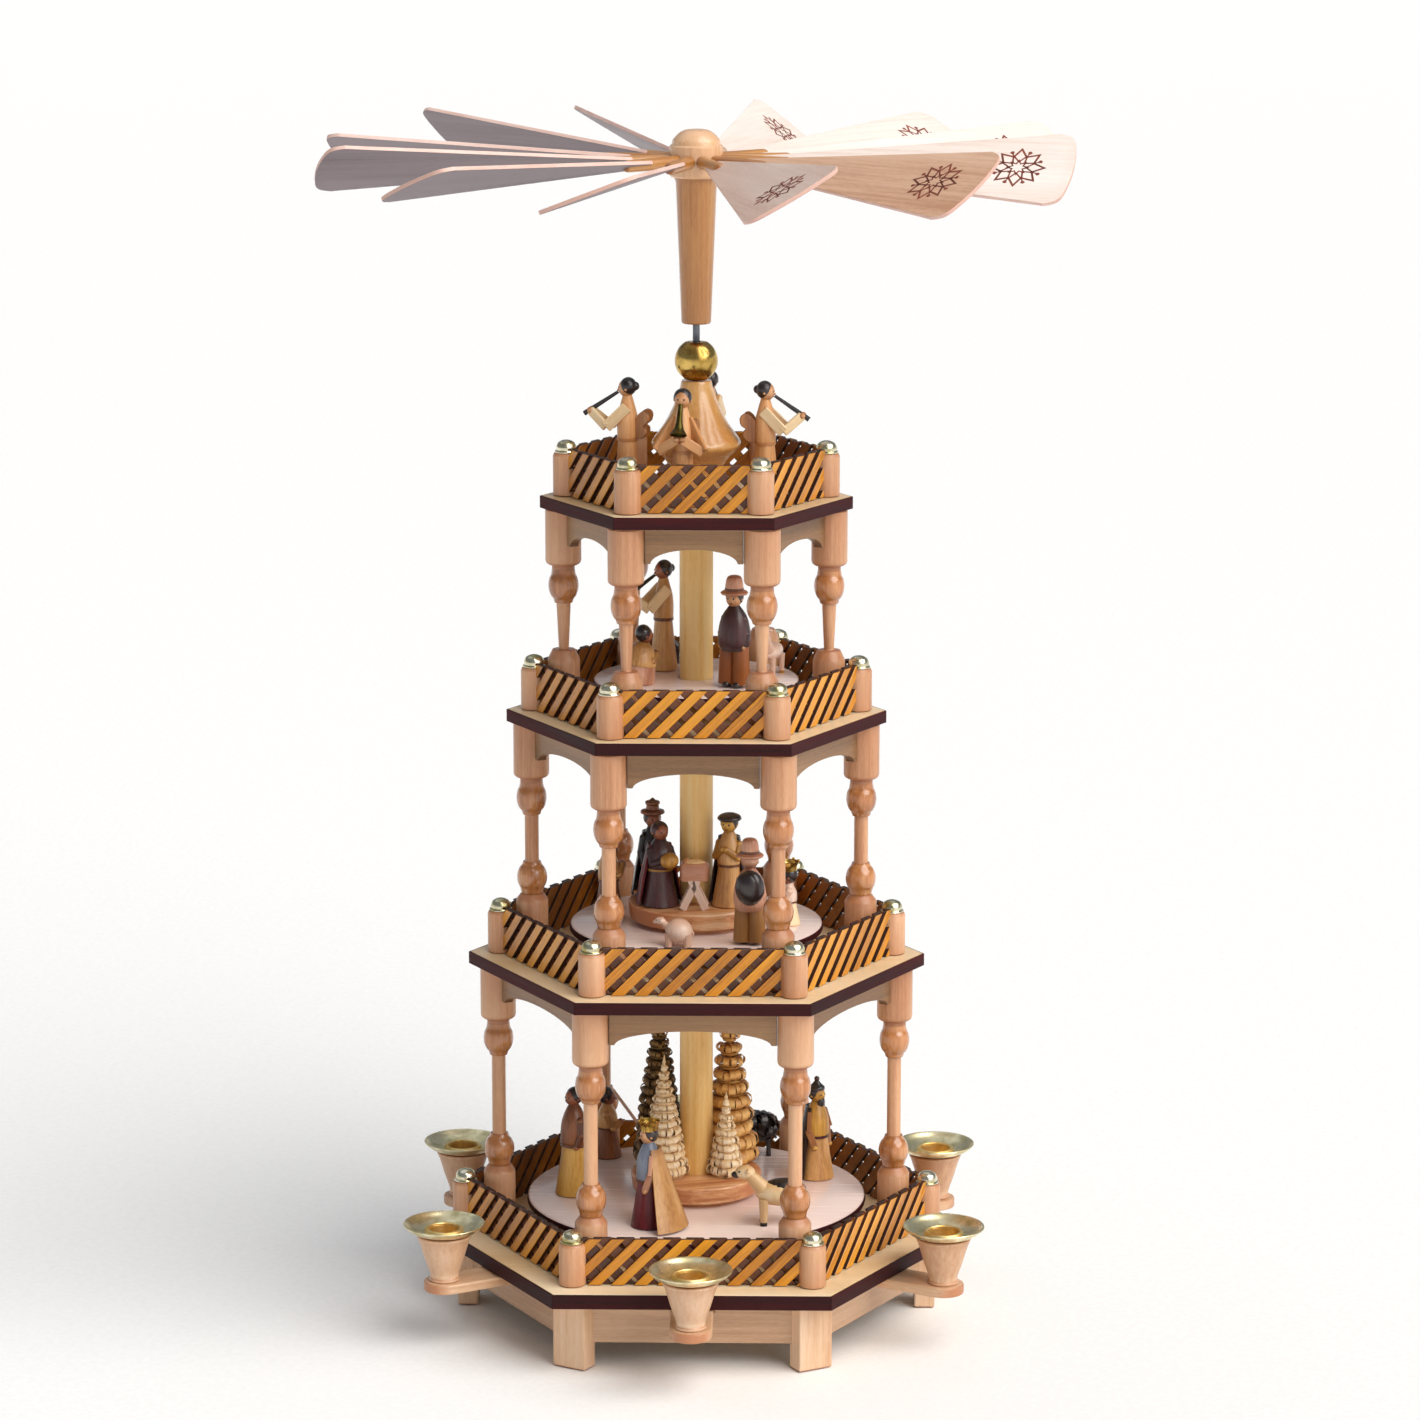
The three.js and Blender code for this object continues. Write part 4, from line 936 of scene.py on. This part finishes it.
def doll(tall, foot, robe, coat=None, sleeve=None, skin="faceWood", hair="black", hat=None, hold="down",
        belt="brown", beard=False, bun=False, legs=False, flat=False, pack=None, cape=None, flare=1.22,
        gift=3.4, staff="brown"):
    # Faces +X and stands on z = 0. The robe and the coat are turned, and the rest is glued on
    coat = coat or robe
    headZ = tall - (hats[hat][0] + 3.2 if hat else 4.6)
    neck = headZ - 3.6
    parts = []
    if legs:
        for side in (-1, 1):
            parts.append(bar((0, side * 3.4, 1.6), (0, side * 3.0, 0.56 * neck), 4.3, robe, 3.7, 16))
            parts.append(bead(1.4, side * 2.7, 1.7, 2.6, "black", (1.5, 0.9, 0.65)))
        body = [(0, 0.46 * neck), (6.0, 0.46 * neck), (7.2, 0.54 * neck, "round"),
            (7.3, 0.7 * neck, "round"), (5.6, 0.88 * neck, "round"), (2.2, neck + 0.6), (0, neck + 0.6)]
        parts.append(part(turned(body, 28), coat))
    else:
        skirt = [(0, 0), (foot - 0.5, 0), (foot, 0.6), (0.93 * foot, 0.1 * neck, "round"),
            (0.7 * foot, 0.42 * neck, "round"), (0.6 * foot, 0.6 * neck), (0, 0.6 * neck)]
        body = [(0, 0.55 * neck), (0.66 * foot, 0.55 * neck), (0.7 * foot, 0.62 * neck, "round"),
            (0.66 * foot, 0.8 * neck, "round"), (0.42 * foot, 0.95 * neck, "round"), (1.9, neck + 0.9),
            (0, neck + 0.9)]
        girdle = [(0.62 * foot, 0.54 * neck), (0.71 * foot, 0.545 * neck), (0.71 * foot, 0.575 * neck),
            (0.62 * foot, 0.58 * neck)]
        for profile, finish in ((skirt, robe), (body, coat), (girdle, belt)):
            parts.append(part(turned(profile, 28), finish))
    parts.append(bar((0, 0, neck - 0.5), (0.2, 0, headZ - 2), 1.8, skin))
    parts += headParts(0.4, headZ, skin, hair, beard=beard, bun=bun)
    parts += hatParts(hat, 0.1, headZ + 2.4)
    parts += heldParts(hold, foot, 0.84 * neck, headZ, tall, sleeve or coat, skin, flat, gift, staff)
    if pack:
        parts.append(bead(-7.4, -1.4, 0.56 * tall, 6.8, pack, (0.8, 1, 1.2), 20))
    if cape:
        # Half a cone behind the back, cut down the middle
        hem = flare * foot
        bm = turned([(0.64 * foot, neck - 2), (0.45 * foot + 0.45 * hem, 0.45 * neck, "round"), (hem, 1.2),
            (hem - 0.5, 0.9), (0.36 * foot + 0.42 * hem, 0.45 * neck, "round"), (0.5 * foot, neck - 2.4),
            (0.64 * foot, neck - 2)], 28)
        cut = bmesh.ops.bisect_plane(bm, geom=bm.verts[:] + bm.edges[:] + bm.faces[:],
            plane_co=metres(0.6, 0, 0), plane_no=(1, 0, 0), clear_outer=True)["geom_cut"]
        bmesh.ops.holes_fill(bm, edges=[item for item in cut if isinstance(item, bmesh.types.BMEdge)])
        bmesh.ops.recalc_face_normals(bm, faces=bm.faces)
        parts.append(part(bm, cape))
    return parts


def wingParts(z):
    # Two small boards with two lobes each, spread behind the back
    outline = smooth([(0, 0), (3.4, -1.6, "round"), (6.6, 0.4, "round"), (7.0, 3.2, "round"), (5.6, 4.6),
        (8.0, 6.6, "round"), (8.2, 10.2, "round"), (5.6, 11.6, "round"), (1.6, 8.6, "round"), (0, 5)], 4)
    wing = sawn(outline, 1.2, 0.25, (0, 1, 0))
    return [(wing, shift(-3.6, side * 0.8, z) @ turn(side * 62) @ upright @ Matrix.Scale(side, 4, (1, 0, 0)),
        "wingWood") for side in (-1, 1)]


def kneeling(robe, coat, skin="faceWood", hair="black"):
    lean = turn(9, "Y")
    skirt = turned([(0, 0), (7.6, 0), (8.2, 0.8), (7.8, 5, "round"), (6.6, 11, "round"),
        (4.6, 16.4, "round"), (2.2, 18.6), (0, 18.8)], 28)
    cloak = turned([(0, 8.6), (7.5, 8.6), (7.3, 11, "round"), (5.2, 16.6, "round"), (2.4, 19.2), (0, 19.4)],
        28)
    parts = [part(skirt, robe, lean), bead(-5.6, 0, 2.4, 3.4, robe, (1.3, 1.4, 0.7)), part(cloak, coat, lean)]
    parts += moved(headParts(0, 0, skin, hair, 3.8), shift(3.9, 0, 22.2))
    for side in (-1, 1):
        parts += armParts((1.8, side * 4.4, 14.6), (6.0, side * 4.8, 10.6), (9.2, side * 1.2, 13.4), coat,
            skin, 1.7)
    return parts


def curlMesh(radius, width):
    # One ribbon curl: a short line swept most of the way round and thickened
    bm = bmesh.new()
    ends = [bm.verts.new(metres(0, side * width / 2, 0)) for side in (-1, 1)]
    edge = bm.edges.new(ends)
    bmesh.ops.spin(bm, geom=ends + [edge], axis=(0, -1, 0), cent=metres(0, 0, radius),
        angle=math.radians(300), steps=7, use_merge=False)
    bmesh.ops.solidify(bm, geom=bm.faces[:], thickness=0.25 * mm)
    bmesh.ops.recalc_face_normals(bm, faces=bm.faces)
    return shaped(bm, (0, 0, 1), 60)


def shavedTree(tall, girth, finish, curlSize=1.0):
    # The plane leaves a ring of ribbon curls at each cut, longest at the foot
    rings = max(9, round(tall / (4.2 * curlSize)))
    parts = [bar((0, 0, 0), (0, 0, 0.95 * tall), 1.8, finish, 0.6, 12)]
    dice = random.Random(tall)
    for i in range(rings):
        left = 1 - i / rings
        level = 0.6 + i / rings * 0.94 * tall
        reach = girth * left ** 0.75 + 0.6
        radius = curlSize * (0.7 + 1.7 * left)
        count = max(7, round(math.tau * reach / (2.5 * curlSize)))
        curl = curlMesh(radius, curlSize * min(2.2, 1.1 + 1.6 * left))
        for j in range(count):
            angle = 360 * (j + 0.5 * (i % 2) + dice.uniform(-0.2, 0.2)) / count
            out = max(0.4, reach - radius - dice.uniform(0.2, 1.3))
            place = around(angle, out, level + dice.uniform(-0.5, 0.5)) @ turn(dice.uniform(-25, 10), "Y")
            parts.append((curl, place, finish))
        inner = max(1.2, reach - 1.4 * radius)
        leaf = turned([(0.8, -0.6), (inner, -1.2), (inner + 0.4, -0.4), (0.8, 1.6)], 20)
        parts.append(part(leaf, finish, shift(z=level)))
    parts.append(bar((0, 0, 0.93 * tall), (0.2, 0, tall), 0.9, finish, 0.1, 8))
    return parts


def animal(shoulder, coat, face, neck=0.35, curly=False, stout=1.0, back=None):
    # Faces +X. Legs, body, neck and head, all in shares of the shoulder's height
    s = shoulder
    parts = [bead(0, 0, 0.74 * s, 0.5 * s, coat, (1.18, 0.56 * stout, 0.56 * stout), 20)]
    if back:
        parts.append(bead(-0.06 * s, 0, 0.8 * s, 0.5 * s, back, (1.05, 0.5 * stout, 0.52 * stout), 20))
    for x in (-0.4 * s, 0.4 * s):
        for y in (-0.16 * s, 0.16 * s):
            knee = (x, math.copysign(0.15 * s, y), 0.62 * s)
            parts.append(bar((x, y, 0.4), knee, 0.07 * s * stout, coat, 0.11 * s * stout))
            parts.append(bar((x, y, 0), (x, y, 0.09 * s), 0.09 * s, face, 0.08 * s))
    headX, headZ = 0.82 * s, (1.0 + neck) * s
    parts.append(bar((0.4 * s, 0, 0.82 * s), (0.74 * s, 0, (0.96 + neck) * s), 0.2 * s, coat, 0.13 * s, 14))
    parts.append(bead(headX, 0, headZ, 0.19 * s, coat, (1.25, 0.85, 0.9), 14))
    parts.append(bead(headX + 0.2 * s, 0, headZ - 0.05 * s, 0.11 * s, face, (1.1, 0.9, 0.8)))
    for side in (-1, 1):
        parts.append(bead(headX - 0.06 * s, side * 0.17 * s, headZ + 0.08 * s, 0.08 * s, coat,
            (0.6, 1.5, 0.7)))
        parts.append(bead(headX + 0.14 * s, side * 0.12 * s, headZ + 0.05 * s, 0.025 * s, "black"))
    parts.append(bar((-0.55 * s, 0, 0.8 * s), (-0.66 * s, 0, 0.58 * s), 0.05 * s, coat, 0.04 * s))
    if curly:
        curl = curlMesh(0.27 * s, 0.2 * s)
        dice = random.Random(s)
        fleece = shift(0, 0, 0.74 * s) @ Matrix.Diagonal((1.18, 0.6, 0.6, 1))
        reach = 0.47 * s
        for i in range(60):
            angle, tilt = 137.5 * i, -60 + 2.2 * i
            spot = fleece @ Vector(metres(reach * cos(tilt) * cos(angle), reach * cos(tilt) * sin(angle),
                reach * sin(tilt)))
            parts.append((curl, Matrix.Translation(spot) @ turn(dice.uniform(0, 360)), coat))
    return parts


def manger():
    trough = board(rectangle(5.2, 6.6), 8.6, 1.8)
    parts = [part(trough, "pinkTan", shift(z=13), (0, 1, 0)), bead(0, 0, 21, 4, "cream", (0.85, 1.4, 0.5)),
        bead(0, 3.4, 22, 1.8, "paleFace")]
    for end in (-4, 4):
        for lean in (-1, 1):  # the crossed legs show their A to the front and back
            parts.append(plank((end, lean * 5.4, 0.2), (end, -lean * 1.6, 14.4), 3.4, 1.6, "lambWood"))
    return parts


discLook = {"thickness": 4, "bore": 7.9, "blockHeight": 10.1, "undercut": 2.4}
# Each figure: its name, angle and reach on the disc, the way it faces, and how it is made
turntableLook = {
    "turntable_1": {
        "block": 30.5,
        "onDisc": [
            ("king_gold", 249, 57, 196, doll, dict(
                tall=51, foot=8.6, robe="maroon", coat="grey", sleeve="pinkTan", skin="paleFace",
                hat="crown", flat=True, cape="tan", flare=2.1)),
            ("herder", 184, 57, 215, doll, dict(tall=51, foot=9, robe="gold", coat="brown")),
            ("staff_bearer", 128, 71, 0, doll, dict(
                tall=34, foot=7.2, robe="brown", coat="tan", hold="staff", staff="lambWood")),
            ("king_dark", 23, 61, 320, doll, dict(
                tall=50, foot=8.4, robe="tan", coat="gold", skin="gold", sleeve="wingWood",
                belt="maroon", hat="pointed", flat=True, cape="black", beard=True)),
            ("goat", 309, 63, 182, animal, dict(
                shoulder=20, coat="cream", face="black", neck=0.22, stout=1.1, back="black")),
            ("black_sheep", 65, 66, 180, animal, dict(
                shoulder=14, coat="black", face="black", neck=0.3, curly=True)),
        ],
        "onBlock": [
            ("tree_front", 206, 16.5, 0, shavedTree, dict(tall=58, girth=11.5, finish="shaving")),
            ("tree_small", 334, 15.5, 0, shavedTree, dict(tall=40, girth=8.6, finish="shaving")),
            ("tree_left", 140, 23, 0, shavedTree, dict(
                tall=84, girth=13, finish="oliveShaving", curlSize=1.15)),
            ("tree_right", 46, 22, 0, shavedTree, dict(
                tall=84, girth=14, finish="goldShaving", curlSize=1.6)),
        ],
    },
    "turntable_2": {
        "block": 31.5,
        "onDisc": [
            ("shepherd_back", 300, 50, 80, doll, dict(
                tall=50, foot=7.6, robe="tan", coat="pinkTan", hat="brim", hair="pinkTan", legs=True,
                pack="black")),
            ("helper", 352, 43, 180, doll, dict(
                tall=31, foot=5.6, robe="cream", coat="lambWood", hat="crown", hold="pray")),
            ("father", 172, 41, 20, doll, dict(
                tall=40, foot=7, robe="brown", coat="tan", hold="pray", beard=True, hair="brown")),
            ("white_lamb", 262, 50, 168, animal, dict(
                shoulder=10.5, coat="lambWood", face="lambWood", neck=0.12, stout=1.9)),
        ],
        "onBlock": [
            ("bowl_bearer", 212, 19.5, 300, doll, dict(
                tall=39, foot=9, robe="plum", hold="bowl", belt="gold", hair="plum",
                cape="maroon", flare=1.25, gift=4)),
            ("king_black", 158, 22, 290, doll, dict(
                tall=47, foot=7.6, robe="black", hat="tall", cape="black", flare=1.35)),
            ("mother", 325, 18.6, 250, doll, dict(
                tall=44, foot=8, robe="tan", skin="gold", sleeve="gold", hat="scarf", hold="pray",
                cape="black")),
            ("manger", 268, 17, 90, manger, {}),
        ],
    },
    "turntable_3": {
        "block": 0,
        "onDisc": [
            ("flute_player", 130, 24, 205, doll, dict(
                tall=51, foot=6.6, robe="tan", sleeve="cream", hold="flute", bun=True)),
            ("shepherd", 309, 28, 245, doll, dict(
                tall=52, foot=8, robe="orange", coat="plum", skin="paleFace", hat="brim", legs=True)),
            ("listener", 208, 30.3, 20, kneeling, dict(robe="pinkTan", coat="tan")),
            ("pale_deer", 10, 35.3, 250, animal, dict(shoulder=15, coat="lambWood", face="gold", neck=0.45)),
            ("dark_dog", 100, 36.3, 200, animal, dict(shoulder=9.5, coat="black", face="black", neck=0.25)),
        ],
        "onBlock": [],
    },
}
angelLook = dict(tall=53, foot=6.8, robe="peach", bun=True, belt="peach", skin="paleFace")
# The angels' angles on the top deck, and what each plays
angels = {"angel_front": (260, "horn", "peach"), "angel_right": (350, "flute", "cream"),
    "angel_back": (80, "flute", "cream"), "angel_left": (170, "flute", "cream")}


def placeFigure(name, parts, angle, reach, level, facing, body):
    makePiece(name, moved(parts, around(angle, reach, level) @ turn(facing - angle)), body)


def makeTurntables():
    bore, blockTall, undercut = discLook["bore"], discLook["blockHeight"], discLook["undercut"]
    for node, look in turntableLook.items():
        low, high = corners(node)
        radius, block = (high.x - low.x) / 2, look["block"]
        top = low.z + discLook["thickness"]
        disc = shaped(turned([(bore, -4), (radius - 1.6, -4), (radius - 0.6, -3.6, "round"),
            (radius - 0.1, -2, "round"), (radius - 0.5, -0.5, "round"), (radius - 1.2, 0), (bore, 0),
            (bore, -4)], 96), (1, 0, 0))
        rim = lathe([(radius - 2, -3.95), (radius - 0.45, -3.6, "round"), (radius + 0.05, -2, "round"),
            (radius - 0.35, -0.7, "round"), (radius - 0.9, -0.4), (radius - 2, -0.4), (radius - 2, -3.95)],
            96)
        parts = [(disc, shift(z=top), "lacquer"), (rim, shift(z=top), "maroonEdge")]
        if block:
            pedestal = turned([(bore, 0), (block - 6, 0), (block - 6, undercut), (block - 1.4, undercut),
                (block - 0.8, 3), (block, 9.4), (block - 0.5, blockTall), (bore, blockTall), (bore, 0)], 72)
            parts.append((shaped(pedestal, (1, 0.3, 0)), shift(z=top), "blockWood"))
        makePiece(node + "_disc", parts, "rotor", [node])
        for group, level in ((look["onDisc"], top), (look["onBlock"], top + blockTall)):
            for name, angle, reach, facing, build, details in group:
                placeFigure(name, build(**details), angle, reach, level, facing, "rotor")


def makeAngels():
    top = corners("railing_4")[0].z - seat
    for name, (angle, hold, sleeve) in angels.items():
        parts = doll(**angelLook, hold=hold, sleeve=sleeve) + wingParts(27)
        placeFigure(name, parts, angle, 31.8, top, angle, "tower")


makeTurntables()
makeAngels()
print("turntables, figures and trees made")

# As fitted to the photograph. The place is in metres, and the lens and the sensor are in mm
cameraLook = {"place": (0.0415, -2.1826, 0.7324), "down": 11.63, "roll": 0.019, "lens": 123.37, "sensor": 36,
    "shiftX": 0.0096}
camera = bpy.data.cameras.new("camera")
camera.lens = cameraLook["lens"]
camera.sensor_width = cameraLook["sensor"]
camera.shift_x = cameraLook["shiftX"]
cameraObject = bpy.data.objects.new("camera", camera)
cameraObject.location = cameraLook["place"]
cameraObject.rotation_euler = (math.radians(90 - cameraLook["down"]), 0, cameraLook["roll"])
bpy.context.scene.collection.objects.link(cameraObject)
bpy.context.scene.camera = cameraObject


def setStage(name, bm):
    mesh = bpy.data.meshes.new(name)
    bm.to_mesh(mesh)
    bm.free()
    mesh.materials.append(finishes[name])
    item = bpy.data.objects.new(name, mesh)
    bpy.context.scene.collection.objects.link(item)


# Lengths in metres. The wall stands far off, so that a low view ends in studio white
stageLook = {"floorRadius": 90, "sink": 0.0004, "wallRadius": 20, "wallHeight": 3.6, "wallGlow": 0.95}
tree, shader = newFinish("floor", "matt white studio floor", 0.75)
place = addNode(tree, "TexCoord").outputs["Object"]
# Paper fibres about 3 mm across, hardly seen
fibre = addNode(tree, "TexNoise", {"Scale": 1 / 0.003, "Detail": 2.0}, {"Vector": place})
tone = addNode(tree, "ValToRGB", {"stops": [(0.3, "#F4F3F2"), (0.7, "#F9F8F7")]},
    {"Fac": fibre.outputs["Fac"]})
tree.links.new(tone.outputs["Color"], shader.inputs["Base Color"])
bm = bmesh.new()
bmesh.ops.create_circle(bm, cap_ends=True, segments=64, radius=stageLook["floorRadius"])
bmesh.ops.translate(bm, verts=bm.verts, vec=(0, 0, -stageLook["sink"]))
setStage("floor", bm)

tree, shader = newFinish("wall", "white studio wall", 0.9)
shader.inputs["Base Color"].default_value = linear("#202020")
shader.inputs["Emission Color"].default_value = linear("#F6F5F3")
shader.inputs["Emission Strength"].default_value = stageLook["wallGlow"]
bm = bmesh.new()
bmesh.ops.create_circle(bm, segments=96, radius=stageLook["wallRadius"])
raised = bmesh.ops.extrude_edge_only(bm, edges=bm.edges[:])["geom"]
bmesh.ops.translate(bm, verts=[item for item in raised if isinstance(item, bmesh.types.BMVert)],
    vec=(0, 0, stageLook["wallHeight"]))
setStage("wall", bm)

world = bpy.context.scene.world or bpy.data.worlds.new("world")
bpy.context.scene.world = world
world.use_nodes = True
background = world.node_tree.nodes["Background"]
background.inputs["Color"].default_value = (0.8, 0.89, 1.0, 1)
background.inputs["Strength"].default_value = 0.26

lightLook = {
    # The way the light comes from, how many degrees wide it is, its strength and its colour
    "windowRight": ((0.7, -0.5, 0.95), 58, 3.2, (1.0, 0.965, 0.92)),
    "front": ((0.8, -1.0, 0.35), 40, 0.55, (1.0, 0.97, 0.93)),
    "ceiling": ((-0.2, 0.3, 1.0), 60, 0.35, (0.95, 0.98, 1.0)),
}
for name, (spot, spread, strength, colour) in lightLook.items():
    light = bpy.data.lights.new(name, "SUN")
    light.angle = math.radians(spread)
    light.energy = strength
    light.color = colour
    lightObject = bpy.data.objects.new(name, light)
    lightObject.rotation_euler = Vector(spot).to_track_quat("Z", "Y").to_euler()
    bpy.context.scene.collection.objects.link(lightObject)
bpy.context.scene.view_settings.view_transform = "Standard"
print("camera, floor and lights placed")
